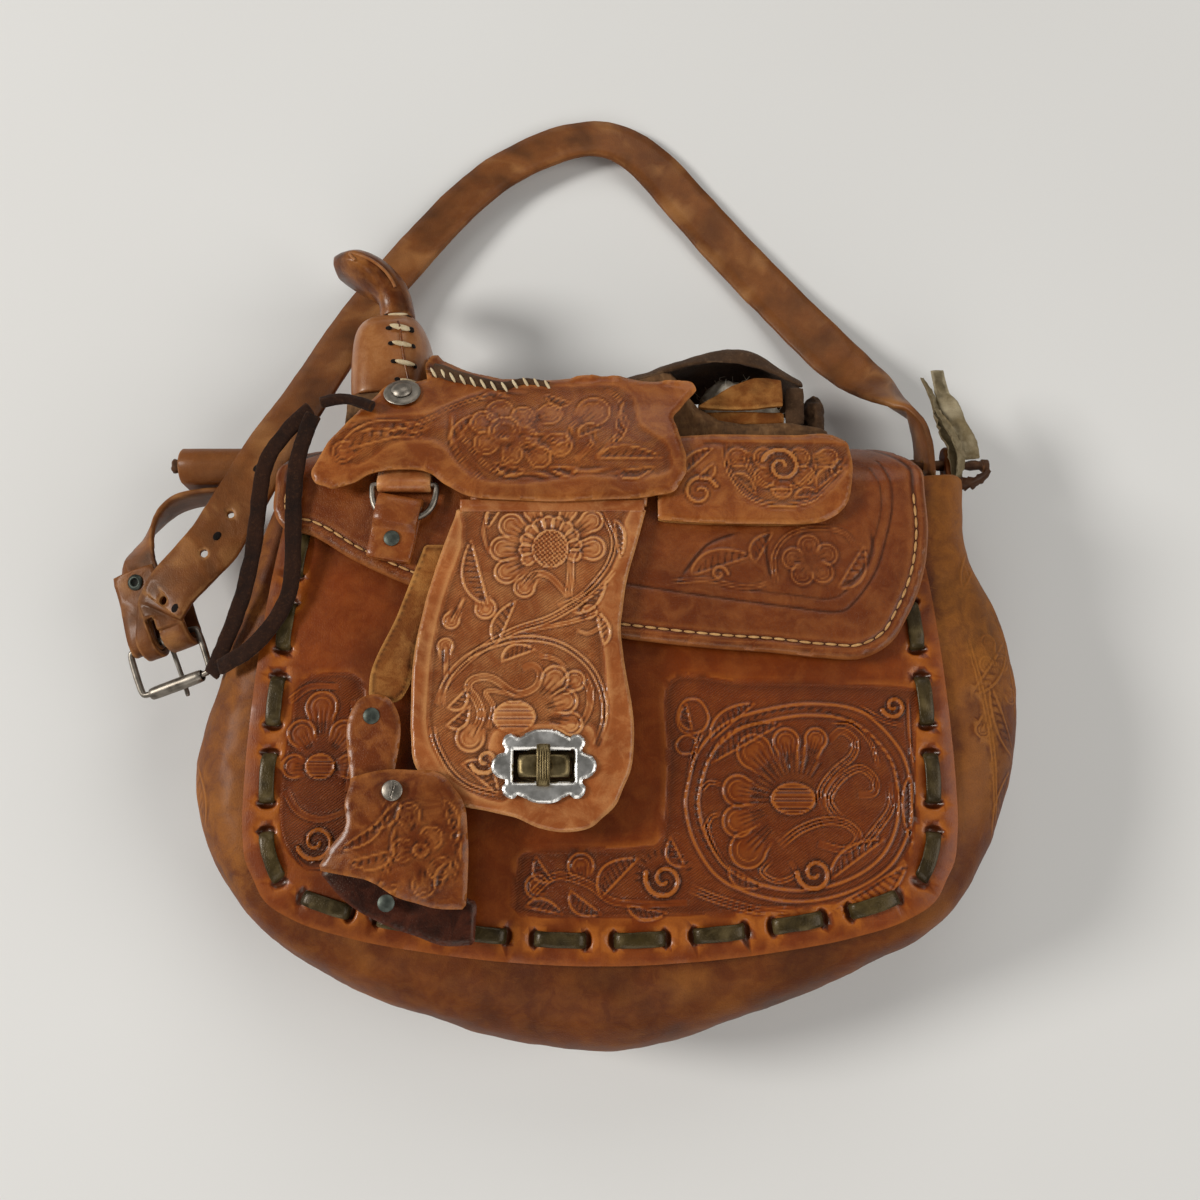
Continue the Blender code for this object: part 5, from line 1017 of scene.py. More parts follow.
def embossGusset():
    # Scrolls and leaves pressed into the side that shows, read straight down onto the leather
    work = reliefFor("gusset", cell=0.35, corner=(0, 0), scale=1.0, level=0.045)
    for base, tip, wide, cuts, hand in (
            ((950, 600), (985, 540), 14, 7, 1), ((1003, 640), (975, 560), 12, 7, -1),
            ((955, 700), (1000, 640), 15, 8, -1), ((1008, 760), (975, 690), 14, 8, 1),
            ((985, 840), (1004, 770), 12, 7, 1), ((205, 690), (222, 640), 12, 5, 1),
            ((212, 830), (200, 760), 12, 6, -1)):
        work.feather(base, tip, wide, cuts, hand)
    for centre, size in (((975, 650), 17), ((990, 668), 17), ((972, 672), 17), ((1000, 700), 16), ((966, 735), 16)):
        work.cup(centre, size, (984, 690), 2)
    for points in ([(955, 560), (990, 620), (1010, 720), (1000, 810)], [(950, 640), (975, 740), (985, 850)],
                   [(200, 650), (194, 740), (206, 820), (240, 900)]):
        work.bundle(points, 2, 1.6, 0.8)
    data = gussetSkin.data
    mesh = bmesh.new()
    mesh.from_mesh(data)
    worked = work.blurred((np.abs(work.high) > gussetPiece["worked"]).astype(float), 2)
    busy = work.read(worked, np.array([vert.co for vert in mesh.verts])) > gussetPiece["busy"]
    side, above, lean = gussetPiece["side"], gussetPiece["above"], gussetPiece["lean"]
    edges = [edge for edge in mesh.edges
             if all(busy[v.index] and abs(v.co.x) > side and v.co.z > above and v.normal.z > lean for v in edge.verts)]
    bmesh.ops.subdivide_edges(mesh, edges=edges, cuts=gussetPiece["finer"], use_grid_fill=True)
    mesh.to_mesh(data)
    mesh.free()
    data.shade_smooth()
    spots, normals = spotsOf(data), normalsOf(data)
    near = np.clip(normals[:, 2] * 2 - 0.6, 0, 1) * (np.abs(spots[:, 0]) > side) * (spots[:, 2] > above)
    high = work.read(work.high, spots) * near
    setSpots(data, spots + normals * (high * gussetPiece["press"])[:, None])
    # Painted shade in the dips of the embossing and the wrinkles, and a painted highlight on their crests
    emboss_shading = work.read(work.high - work.blurred(work.high, 4), spots) * near
    folds = rumple(spots, gussetPiece["scale"], 4)
    paint(data, "shade_and_highlight", np.clip(emboss_shading * 1.1, -0.25, 0.25) + np.clip(folds * 0.2, -0.2, 0.15))
    x, y, z = spots.T
    rubbed = np.clip((z - above) / 0.03, 0, 1) * np.clip((np.abs(x) - 0.128) / 0.012, 0, 1)
    rubbed = rubbed * np.where(x > 0, np.clip((y + 0.03) / 0.05, 0.3, 1), 0.75)
    paint(data, "rim", np.maximum(rimShare(data, gussetPiece["wear"]), rubbed * 0.85))


embossGusset()
rounded("edge_lace", "edgeLace", 2, 0.35, 50, 0.0002, 200, wear=0.0015)
for lug in ("left_lug", "right_lug"):
    rounded(lug, "gusset", 2, 0.7, wear=0.003)
for rootLace in ("left_root_lace", "right_root_lace"):
    rounded(rootLace, "rootLace", 3, 0.3, 50, 0.0010, 150, wear=0.001)
rounded("rawhide_thong", "rawhide", 3, 0.4, wrinkle=0.0017, wrinkleScale=70, wear=0.002)

# Torn ends of the thong and the root lace
tornPiece = {"height": 0.0405, "leather": 0.0009, "ragged": 0.55, "grain": 420, "hollow": 0.28, "turn": 1.5}


def torn(name, look, body, pixels, widths, seed):
    # A torn strip along pixels of the photograph: thin, hollow across, turning a little, with uneven edges
    route = smoothRoute([atPixel(px, py, tornPiece["height"] + rise) for px, py, rise in pixels], 9)
    mesh, last = bmesh.new(), len(route) - 1
    bmesh.ops.create_grid(mesh, x_segments=4 * last // 3, y_segments=6, size=0.5)
    for vert in mesh.verts:
        share, across = vert.co.x + 0.5, vert.co.y * 2
        k = min(int(share * last), last - 1)
        spot = route[k].lerp(route[k + 1], share * last - k)
        way = (route[k + 1] - route[max(k - 1, 0)]).normalized()
        side = way.cross(Vector((math.sin(tornPiece["turn"] * share + seed), 0, 1))).normalized()
        wide = np.interp(share, np.linspace(0, 1, len(widths)), widths) / 2
        edge = np.array([spot + side * wide * math.copysign(1, across)])
        ragged = 1 + tornPiece["ragged"] * rumple(edge, tornPiece["grain"], 3, seed)[0]
        vert.co = spot + side * wide * across * ragged + side.cross(way) * wide * tornPiece["hollow"] * 2 * across ** 2
    bmesh.ops.solidify(mesh, geom=mesh.faces[:], thickness=tornPiece["leather"])
    bmesh.ops.recalc_face_normals(mesh, faces=mesh.faces[:])
    return dress(name, mesh, look, body)


torn("rawhide_curl", "rawhide", bodyOf["rawhide_thong"],
     [(956, 480, 0), (950, 452, 0.002), (938, 425, 0.003), (931, 400, 0.001), (921, 378, -0.001)],
     (0.004, 0.007, 0.0085, 0.006, 0.002), 0.3)
torn("rawhide_fork", "rawhide", bodyOf["rawhide_thong"],
     [(956, 478, 0.002), (958, 455, 0.004), (947, 428, 0.005), (934, 408, 0.004)], (0.004, 0.006, 0.005, 0.0015), 1.4)
torn("root_lace_tip", "rootLace", bodyOf["right_root_lace"],
     [(948, 482, 0.001), (966, 484, 0.002), (980, 478, 0.002), (990, 470, 0.001)], (0.005, 0.006, 0.004, 0.0015), 0.9)
print("gusset dressed")

# Lid skirt: flat over the front, folded over the mouth at the back
skirtPiece = {"step": 0.0021, "leather": 0.0045, "lift": 0.0027, "halfWidth": 0.133, "foldHalfWidth": 0.119,
              "backHalfWidth": 0.104, "foldStart": 0.088, "foldReach": 0.024, "foldSteps": 8,
              "hinge": (0.1015, 0.0062), "frontDrop": 0.072, "depth": 0.076, "crown": 0.003,
              "panel": (0.140, 0.101), "stitchInset": 0.0052, "stitch": (0.0023, 0.00055, 0.00045), "pitch": 0.0051,
              "stitchEnd": 0.086, "stitchSink": 0.0001,
              "shares": [(-1, 0), (-1, .14), (-.97, .24), (-.89, .28), (-.75, .43), (-.55, .60), (-.34, .74),
                         (-.10, .84), (.10, .89), (.35, .94), (.51, .96), (.67, .99), (.78, .99), (.87, .90),
                         (.92, .76), (.97, .56), (1, .30), (1, 0)]}


def faceHeight(x, y):
    wide, tall = skirtPiece["panel"]
    return skirtPiece["depth"] - skirtPiece["crown"] * ((x / wide) ** 2 + (y / tall) ** 2)


def foldEnd():
    return math.pi - math.asin((skirtPiece["hinge"][0] - skirtPiece["foldStart"]) / skirtPiece["foldReach"])


def skirtSpot(x, y, height):
    # The skirt's place: level over the front, then round the fold
    start, reach, hingeZ = skirtPiece["foldStart"], skirtPiece["foldReach"], skirtPiece["hinge"][1]
    if y <= start:
        return Vector((x, y, faceHeight(x, y) + skirtPiece["lift"] + height))
    end = foldEnd()
    angle = end * (y - start) / (end * (reach + 2 * hingeZ))
    startZ = faceHeight(x, start) + skirtPiece["lift"] + skirtPiece["leather"] / 2
    half = (startZ - hingeZ) / (1 - math.cos(end))
    offset = height - skirtPiece["leather"] / 2
    return Vector((x, start + (reach + offset) * math.sin(angle), startZ - half + (half + offset) * math.cos(angle)))


def skirtOutline():
    start = skirtPiece["foldStart"]
    length = foldEnd() * (skirtPiece["foldReach"] + 2 * skirtPiece["hinge"][1])
    steps = [start + length * k / skirtPiece["foldSteps"] for k in range(skirtPiece["foldSteps"] + 1)]
    front = [Vector((x * skirtPiece["halfWidth"], start - skirtPiece["frontDrop"] * y)) for x, y in
             skirtPiece["shares"]]
    back = [(skirtPiece["halfWidth"], steps[1]), (skirtPiece["foldHalfWidth"], steps[3]),
            (skirtPiece["backHalfWidth"], steps[6]), (skirtPiece["backHalfWidth"], steps[-1])]
    return front + [Vector(spot) for spot in back] + [Vector((-x, y)) for x, y in back[::-1]]


def tooledSkirt():
    work = Relief((-0.135, 0.010), (0.135, 0.170), cell=0.5, corner=(640, 330), scale=4.48, level=0.083)
    work.groove([(1080, 500), (1130, 640), (1140, 780), (1110, 930), (1060, 1080), (960, 1220), (880, 1260),
                 (700, 1240), (500, 1215), (300, 1190), (100, 1160), (-200, 1110)], 0.5, 0.35, taper=False)
    work.groove([(1040, 560), (1085, 680), (1090, 790), (1060, 920), (1010, 1050), (930, 1160), (850, 1200),
                 (700, 1185), (500, 1160)], 0.45, 0.25, taper=False)
    work.groove([(180, 1110), (300, 960), (450, 900)], 0.6, 0.4)
    work.feather((230, 1100), (500, 1010), 80, 8, 1)
    work.bundle([(120, 1130), (300, 1120), (480, 1150), (600, 1120)], 2)
    work.scroll((355, 1090), 40, 1.1, 0, 1.2, rise=0.3)
    work.groove([(575, 890), (570, 1000), (590, 1110)], 0.6, 0.4)
    work.groove([(1040, 880), (1050, 980), (1000, 1080), (900, 1150)], 0.6, 0.35)
    for centre in ((760, 960), (840, 1000), (820, 1080), (730, 1090), (690, 1020)):
        work.cup(centre, 96, (765, 1035), 2)
    work.feather((890, 1150), (1010, 960), 70, 6, -1)
    work.bundle([(620, 1150), (600, 1020), (660, 920), (780, 880), (920, 900), (980, 980)], 2)
    work.feather((520, 1040), (600, 900), 60, 5, 1)
    work.edging(skirtLoop, skirtPiece["stitchInset"] * 1000, 0.9, 0.45)
    work.edging(skirtLoop, 1.6, 0.5, 0.25)
    return work


skirtLoop = eased(skirtOutline())
sheet("lid_skirt", "skirt", bodyOf["lid_skirt"], [skirtLoop], skirtPiece["leather"], skirtPiece["step"],
      place=skirtSpot, finer=2, relief=tooledSkirt(), replaced=["lid_skirt"], wave=0.0006, waveScale=38,
      roundness=0.0013, scuffs=0.004)
skirtStitches = []
for spot, along in spaced([Vector((p.x, p.y, 0)) for p in insetRoute(skirtLoop, skirtPiece["stitchInset"])],
                          skirtPiece["pitch"]):
    if spot.y < skirtPiece["stitchEnd"]:
        lift = skirtPiece["leather"] - skirtPiece["stitchSink"]
        here, there = skirtSpot(spot.x, spot.y, lift), skirtSpot(*(spot + along * 0.001).xy, lift)
        skirtStitches.append((here, there - here, Vector((0, 0, 1)), skirtPiece["stitch"]))
beads("skirt_stitches", "thread", "lid", skirtStitches)
print("skirt dressed:", len(skirtStitches), "stitches")

# Fender: the tooled flap in front, with its flowers, stems and fronds
fenderPiece = {"step": 0.00060, "cell": 0.30, "corner": (370, 480), "scale": 4.239, "level": 0.0875, "press": 1.3}


def tooledFender():
    work = reliefFor("fender", cell=fenderPiece["cell"], corner=fenderPiece["corner"], scale=fenderPiece["scale"],
                     level=fenderPiece["level"])
    work.field([(415, 100), (395, 200), (385, 300), (330, 450), (290, 600), (262, 750), (250, 900), (245, 1030),
                (270, 1130), (330, 1230), (430, 1320), (560, 1360), (600, 1300), (540, 1240), (500, 1180), (510, 1090),
                (560, 1045), (700, 1035), (930, 1040), (965, 1130), (990, 1050), (1000, 900), (985, 700), (960, 560),
                (980, 450), (1020, 380), (1060, 280), (1075, 180), (1070, 100), (740, 92)], 0.34, 1.4, 0.7)
    first, second = (765, 300), (655, 990)
    for count, gap, points in (
            (2, 2.2, [(300, 950), (330, 840), (440, 735), (620, 675), (790, 692), (920, 780), (985, 900), (992, 1020),
                      (955, 1125)]),
            (2, 1.8, [(264, 1050), (285, 1130), (345, 1235), (430, 1300), (560, 1335)]),
            (3, 1.4, [(1028, 385), (960, 460), (880, 520), (760, 590), (600, 645), (450, 735), (330, 850), (285, 950)]),
            (2, 1.1, [(980, 560), (860, 600), (740, 625), (610, 650)]),
            (2, 1.5, [(985, 140), (1034, 250), (1012, 350), (945, 440), (880, 500), (800, 535)]),
            (3, 1.1, [(650, 455), (700, 398), (765, 412), (842, 495)]),
            (3, 1.1, [(842, 495), (852, 385), (856, 320), (895, 270), (950, 252)]),
            (3, 1.2, [(430, 1085), (472, 1000), (450, 930), (415, 880), (445, 842), (520, 842), (620, 905), (700, 880),
                      (722, 820), (690, 785), (650, 800)]),
            (2, 1.1, [(505, 1050), (522, 960), (490, 900), (560, 900), (640, 930)]),
            (3, 1.1, [(905, 830), (935, 900), (925, 980), (890, 1045)]), (2, 1.1, [(720, 745), (790, 762), (830, 800)]),
            (2, 1.0, [(500, 130), (480, 220), (505, 310)]), (2, 1.0, [(1000, 610), (930, 650), (880, 640)]),
            (2, 0.9, [(318, 840), (325, 710)]), (2, 0.9, [(352, 600), (398, 500)])):
        work.bundle(points, count, gap, 0.7)
    for k in range(11):
        angle = math.radians(-205 + 22 * k)
        work.cup((first[0] + 106 * math.cos(angle), first[1] - 12 + 112 * math.sin(angle)), 50, first, 0)
    for centre, size, flower in (
            ((598, 190), 100, first), ((562, 290), 104, first), ((580, 388), 100, first), ((655, 455), 84, first),
            ((940, 172), 92, first), ((945, 290), 100, first), ((690, 130), 70, first), ((840, 128), 70, first),
            ((785, 845), 108, second), ((868, 852), 80, second), ((828, 938), 98, second), ((852, 1035), 92, second),
            ((425, 1092), 112, (480, 980)), ((320, 705), 62, (310, 860)), ((345, 595), 66, (410, 480)),
            ((490, 545), 84, (450, 440)), ((930, 560), 56, (860, 620))):
        work.cup(centre, size, flower, 2)
    work.hatch((765, 290), 150, 165, 1.35, 40)
    work.hatch((612, 1005), 170, 130, 1.5, 90, cross=False)
    for base, tip, wide, cuts, hand in (
            ((500, 525), (428, 255), 76, 11, 1), ((540, 700), (618, 515), 56, 6, 1),
            ((330, 965), (412, 885), 46, 4, -1), ((325, 1040), (420, 960), 50, 4, -1),
            ((390, 1205), (540, 1330), 66, 7, 1), ((560, 770), (700, 720), 50, 6, 1),
            ((860, 560), (1000, 430), 46, 6, -1), ((1035, 170), (1060, 330), 34, 6, 1),
            ((990, 700), (960, 560), 40, 5, -1), ((560, 110), (500, 200), 40, 4, -1)):
        work.feather(base, tip, wide, cuts, hand)
    work.scroll((490, 1190), 58, 1.2, 200, 1.4)
    work.high *= fenderPiece["press"]
    work.edging(fenderRim, 1.5, 0.45, 0.28)
    work.edging(fenderRim, 3.0, 0.38, 0.16)
    return work


def rimOf(node):
    solid = solidOf(node)
    loops = loopsOf(solid)
    solid.free()
    return eased(loops[0])


fenderRim = rimOf("fender")
sheetFrom("fender", "fender", fenderPiece["step"], tooledFender(), wave=0.0004, waveScale=24, scuffs=0.0030,
          roundness=0.0011)
rounded("fender_root", "fender", 2, 0.7, wear=0.002)

# The fender's leather runs on over its fold, from the lid's strip to the flap
foldPiece = {"x": (-0.0560, 0.0177), "y": (0.0746, 0.0796), "turn": (0.0758, 0.0772), "cells": (72, 10),
             "lap": 0.0012, "lift": 0.00035, "leather": 0.0006, "height": 0.087}


def fenderFold():
    mesh = bmesh.new()
    (x0, x1), (y0, y1) = foldPiece["x"], foldPiece["y"]
    place = Matrix.Translation(((x0 + x1) / 2, (y0 + y1) / 2, 0)) @ Matrix.Diagonal((x1 - x0, y1 - y0, 1, 1))
    bmesh.ops.create_grid(mesh, x_segments=foldPiece["cells"][0], y_segments=foldPiece["cells"][1], size=0.5,
                          matrix=place)
    for vert in mesh.verts:
        tops = [treeOf(node).ray_cast(Vector((vert.co.x, vert.co.y, 0.2)), Vector((0, 0, -1)))[0]
                for node in ("fender", "fender_root")]
        tops = [hit.z for hit in tops if hit is not None]
        low = np.clip((y0 + foldPiece["lap"] - vert.co.y) / foldPiece["lap"], 0, 1)
        vert.co.z = (max(tops) if tops else foldPiece["height"]) + foldPiece["lift"] * (1 - 2 * low)
    for _ in range(3):
        bmesh.ops.smooth_vert(mesh, verts=mesh.verts[:], factor=0.5, use_axis_x=False, use_axis_y=False,
                              use_axis_z=True)
    bmesh.ops.solidify(mesh, geom=mesh.faces[:], thickness=foldPiece["leather"])
    bmesh.ops.recalc_face_normals(mesh, faces=mesh.faces[:])
    data = bpy.data.meshes.new("fender_fold")
    mesh.to_mesh(data)
    mesh.free()
    data.materials.append(looks["fender"])
    data.shade_smooth()
    made = bpy.data.objects.new("fender_fold", data)
    bpy.context.scene.collection.objects.link(made)
    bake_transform(made)


fenderFold()
print("fender dressed")

# Jockeys: the seat's tooled front and the tooled rear flap with its pale lining
seatPiece = {"step": 0.00095, "cell": 0.32, "corner": (300, 360), "scale": 3.92, "level": 0.0895}
rearPiece = {"step": 0.00080, "cell": 0.30, "corner": (640, 330), "scale": 4.48, "level": 0.0880}


def tooledSeat():
    work = reliefFor("seat_jockey", cell=seatPiece["cell"], corner=seatPiece["corner"], scale=seatPiece["scale"],
                     level=seatPiece["level"])
    work.field([(110, 300), (170, 240), (330, 215), (480, 205), (560, 170), (660, 120), (760, 92), (900, 80),
                (1100, 78), (1230, 70), (1300, 130), (1330, 250), (1430, 330), (1450, 420), (1380, 450), (1240, 455),
                (1100, 450), (900, 478), (740, 470), (640, 420), (560, 330), (480, 300), (360, 320), (230, 400),
                (140, 390)], 0.28, 1.4, 0.5)
    work.feather((150, 350), (500, 262), 90, 8)
    work.cup((165, 352), 84, (300, 320), 2)
    for points in ([(590, 200), (590, 300), (640, 400), (720, 470)],
                   [(600, 240), (660, 330), (760, 430), (900, 455), (1100, 430), (1240, 440)],
                   [(550, 190), (660, 140), (760, 110), (880, 100)], [(170, 240), (300, 270), (450, 240), (560, 190)],
                   [(1200, 90), (1260, 150), (1260, 260), (1200, 340), (1160, 380)]):
        work.bundle(points, 2, 1.3, 0.8)
    for centre, size in (((800, 270), 220), ((780, 190), 200), ((715, 235), 180), ((730, 320), 180),
                         ((870, 215), 170), ((890, 300), 150), ((980, 200), 170), ((1020, 330), 170),
                         ((940, 380), 160)):
        work.cup(centre, size * 0.54, (800, 272), 2)
    for base, tip, wide in (((600, 330), (690, 200), 60), ((1060, 150), (960, 110), 60), ((1090, 300), (1190, 260), 60),
                            ((880, 430), (760, 400), 60), ((1250, 190), (1230, 330), 60), ((330, 290), (480, 300), 50),
                            ((1090, 420), (980, 420), 50), ((700, 130), (820, 120), 44)):
        work.feather(base, tip, wide * 0.7, 4)
    work.cup((830, 368), 80, (800, 272), 2)
    for points in ([(870, 300), (950, 295), (1040, 330), (1060, 260), (1100, 225)],
                   [(1080, 390), (1140, 330), (1150, 270)]):
        work.bundle(points, 2, 1.3, 0.8)
    work.cup((1150, 190), 130, (1040, 300), 3)
    work.feather((1160, 385), (1420, 385), 54, 7)
    work.feather((1240, 436), (1385, 418), 40, 5, -1)
    work.hatch((800, 272), 84, 70, 1.3, 40)
    work.edging(seatRim, 1.7, 0.5, 0.30)
    work.edging(seatRim, 3.2, 0.4, 0.16)
    return work


def tooledRear():
    work = reliefFor("rear_jockey", cell=rearPiece["cell"], corner=rearPiece["corner"], scale=rearPiece["scale"],
                     level=rearPiece["level"])
    work.field([(300, 500), (370, 500), (400, 620), (480, 730), (600, 775), (760, 760), (860, 690), (930, 600),
                (940, 540), (900, 500), (640, 495)], 0.28, 1.4, 0.5)
    for points in ([(380, 500), (400, 620), (480, 730), (600, 775), (760, 760), (860, 680), (930, 590)],
                   [(470, 520), (500, 620), (580, 690), (700, 690), (780, 620), (790, 540)]):
        work.bundle(points, 2, 1.3, 0.8)
    work.scroll((640, 600), 90, 1.4, 160, 1.5, -1)
    work.scroll((270, 720), 80, 1.3, 20, 1.4)
    work.feather((800, 700), (930, 600), 54, 5)
    work.feather((200, 640), (330, 520), 48, 5)
    for centre in ((560, 560), (720, 560), (560, 650), (640, 700), (740, 640), (850, 560), (440, 560)):
        work.cup(centre, 90, (645, 610), 2)
    for base, tip, wide in (((420, 640), (520, 730), 60), ((700, 740), (820, 730), 60), ((330, 590), (250, 660), 60),
                            ((880, 640), (930, 560), 50)):
        work.feather(base, tip, wide * 0.7, 4)
    work.edging(rearRim, 1.7, 0.45, 0.30)
    work.edging(rearRim, 3.4, 0.4, 0.18)
    return work


seatRim, rearRim = rimOf("seat_jockey"), rimOf("rear_jockey")
sheetFrom("seat_jockey", "jockey", seatPiece["step"], tooledSeat(), wave=0.0004, waveScale=26, scuffs=0.003,
          roundness=0.0011)
sheetFrom("rear_jockey", "jockey", rearPiece["step"], tooledRear(), wave=0.0004, waveScale=26, scuffs=0.003,
          roundness=0.0010)
rounded("rear_jockey_lining", "rough", 2, 0.7, wear=0.003)
print("jockeys dressed")

# Seat, tree and cantle
seatSoft = rounded("seat_suede", "suede", 3, 0.35, 45, 0.0012, 44, wear=0.003)
treeSoft = rounded("saddle_tree", "core", 2, 0.35, 45, 0.0009, 60)
rounded("cantle_wrap", "rough", 3, 0.5, wrinkle=0.0006, wrinkleScale=70, wear=0.003)
rounded("cantle_lip", "rough", 3, 0.5, wrinkle=0.0004, wrinkleScale=90, wear=0.003)
rounded("cantle_end_roll", "suede", 3, 0.4, wrinkle=0.0012, wrinkleScale=160, wear=0.003)
rounded("cantle_strip", "suede", 2, 0.5, wrinkle=0.0004, wrinkleScale=120)
fluff = rounded("cantle_padding", "fluff", 3, 0.2, 60, 0.0016, 150)

# Loose fibres that stand out of the cotton
fibrePiece = {"count": 150, "length": 0.0045, "radius": 0.00010}
chance = random.Random(11)
fluffSpots, fluffWays = spotsOf(fluff.data), normalsOf(fluff.data)
routes = []
for _ in range(fibrePiece["count"]):
    pick = chance.randrange(len(fluffSpots))
    root, way = Vector(fluffSpots[pick]), Vector(fluffWays[pick])
    drift = Vector([chance.uniform(-1, 1) for _ in range(3)])
    reach = fibrePiece["length"] * chance.uniform(0.3, 1)
    routes.append([root, root + (way + drift * 0.5) * reach * 0.5, root + (way * 0.7 + drift * 1.2) * reach * 0.8])
strand("cotton_fibres", "fluff", "lid", routes, fibrePiece["radius"], sides=0)
print("seat and cantle dressed")

# Seat binding: a dark rolled edge held by cream whip stitches
bindingPiece = {"radius": 0.0030, "pitch": 0.0046, "stitch": (0.0024, 0.00065, 0.00055),
                "line": [(432, 347), (441, 350), (450, 358), (466, 366), (484, 373), (503, 378), (525, 382),
                         (549, 385)], "shares": (1.25, 0.45), "length": 0.05, "out": (0, -0.45, 0.89)}
bindingRoute = smoothRoute([onPart(px, py, "seat_suede", "seat_jockey", "saddle_tree")[0]
                            for px, py in bindingPiece["line"]], 5)
thick, thin = bindingPiece["shares"]
strand("seat_binding", "suede", "lid", [bindingRoute], bindingPiece["radius"],
       [thick + (thin - thick) * k / (len(bindingRoute) - 1) for k in range(len(bindingRoute))], 4)
whips = []
for index, (spot, along) in enumerate(spaced(bindingRoute, bindingPiece["pitch"])):
    share = thick + (thin - thick) * index * bindingPiece["pitch"] / bindingPiece["length"]
    out = Vector(bindingPiece["out"])
    whips.append((spot + out * bindingPiece["radius"] * max(share, 0.4), (Vector((0.35, -0.85, -0.35)) + along * 0.2),
                  out, bindingPiece["stitch"]))
beads("binding_stitches", "cream", "lid", whips)

# Swell and horn
rounded("saddle_swell", "swell", 3, 0.45, 45, wear=0.002)
rounded("saddle_horn", "horn", 3, 0.45, 45, 0.0003, 90, wear=0.003)
swellPiece = {"stitches": [(394, 305), (398, 315), (400, 328), (402, 344), (405, 363), (409, 382)],
              "half": (0.0045, 0.0012, 0.0007), "hole": (0.0013, 0.0010, 0.0004), "seam": 0.0006,
              "lift": 0.0003, "gap": 0.0006}
laceRows, laceHoles = [], []
for index, (px, py) in enumerate(swellPiece["stitches"]):
    spot, out = onPart(px, py, "saddle_swell")
    along = Vector((1, 0.10 - 0.04 * index, 0))
    along = (along - out * along.dot(out)).normalized()
    laceRows.append((spot + out * swellPiece["lift"], along, out, swellPiece["half"]))
    for end in (-1, 1):
        reach = end * (swellPiece["half"][0] + swellPiece["gap"])
        hole, way, _, _ = treeOf("saddle_swell").find_nearest(spot + along * reach)
        laceHoles.append((hole, along, way, swellPiece["hole"]))
swellStitches = beads("swell_stitches", "cream", "lid", laceRows)
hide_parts("swell_lace")
beads("swell_holes", "dark", "lid", laceHoles)
swellSeam = smoothRoute([onPart(px, py, "saddle_swell")[0]
                         for px, py in [(392, 299)] + swellPiece["stitches"] + [(410, 388)]], 3)
strand("swell_seam", "horn", "lid", [swellSeam], swellPiece["seam"], sides=2)
hornPiece = {"seam": [(333, 256), (350, 253), (369, 259), (383, 269), (391, 279), (395, 287)], "radius": 0.0007}
seamRoute = smoothRoute([onPart(px, py, "saddle_horn", height=0.092)[0] for px, py in hornPiece["seam"]], 4)
strand("horn_seam", "swell", "lid", [seamRoute], hornPiece["radius"], sides=2)
for ring in ("concho", "concho_boss"):
    rounded(ring, "steel", 2, 0.6, wear=0.002)
print("swell and horn dressed")

# Strings of soft leather
for string in ("string_root", "string_long", "string_front"):
    rounded(string, "string", 2, 0.5, wrinkle=0.00035, wrinkleScale=160, wear=0.0016)

# Dee ring, its loop and its keeper
rounded("dee_loop", "fender", 2, 0.6, wear=0.002)
rounded("dee_keeper", "jockey", 2, 0.7, wear=0.002)
rounded("dee_ring", "steel", 2, 0.3)

# Stirrup: leather, hanger, hood and tread
stirrupPiece = {"step": 0.0009, "cell": 0.3, "level": 0.089}


def edgedRelief(node, insets):
    work = reliefFor(node, cell=stirrupPiece["cell"], level=stirrupPiece["level"])
    rim = rimOf(node)
    for inset, width, depth in insets:
        work.edging(rim, inset, width, depth)
    return work


def tooledHood():
    work = edgedRelief("stirrup_hood", [(1.4, 0.45, 0.30)])
    for centre in ((410, 815), (432, 838), (440, 868), (405, 850), (425, 885)):
        work.cup(centre, 21, (422, 850), 2)
    work.berry((422, 850), 15, 14)
    for base, tip, wide in (((400, 800), (372, 830), 16), ((395, 850), (350, 862), 18), ((445, 800), (455, 850), 14),
                            ((400, 885), (360, 880), 15), ((440, 890), (452, 860), 12), ((385, 820), (340, 850), 14)):
        work.feather(base, tip, wide * 0.7, 5)
    work.bundle([(385, 800), (395, 840), (385, 880)], 2, 1.3, 0.8)
    work.bundle([(450, 815), (460, 850), (450, 885)], 2, 1.3, 0.8)
    return work


for node, look in (("stirrup_leather", "rough"), ("stirrup_hanger", "stirrup"), ("stirrup_hood", "stirrup"),
                   ("stirrup_tread", "tread")):
    work = tooledHood() if node == "stirrup_hood" else edgedRelief(node, [(1.4, 0.45, 0.30), (2.6, 0.35, 0.14)])
    sheetFrom(node, look, stirrupPiece["step"], work, wave=0.0005, waveScale=40, scuffs=0.003, roundness=0.0010)
for rivet in ("keeper_rivet", "hanger_rivet", "tread_rivet"):
    rounded(rivet, "rivet", 3, 0.4)
rounded("stirrup_screw", "steel", 2, 0.75)
print("stirrup dressed")

# Lock: plate, boss and ribbed knob
lockPiece = {"plate": 0.0012, "step": 0.0005, "ribs": 5, "rib": (0.0070, 0.00045, 0.0006), "ribSink": 0.0001,
             "span": 0.0038}


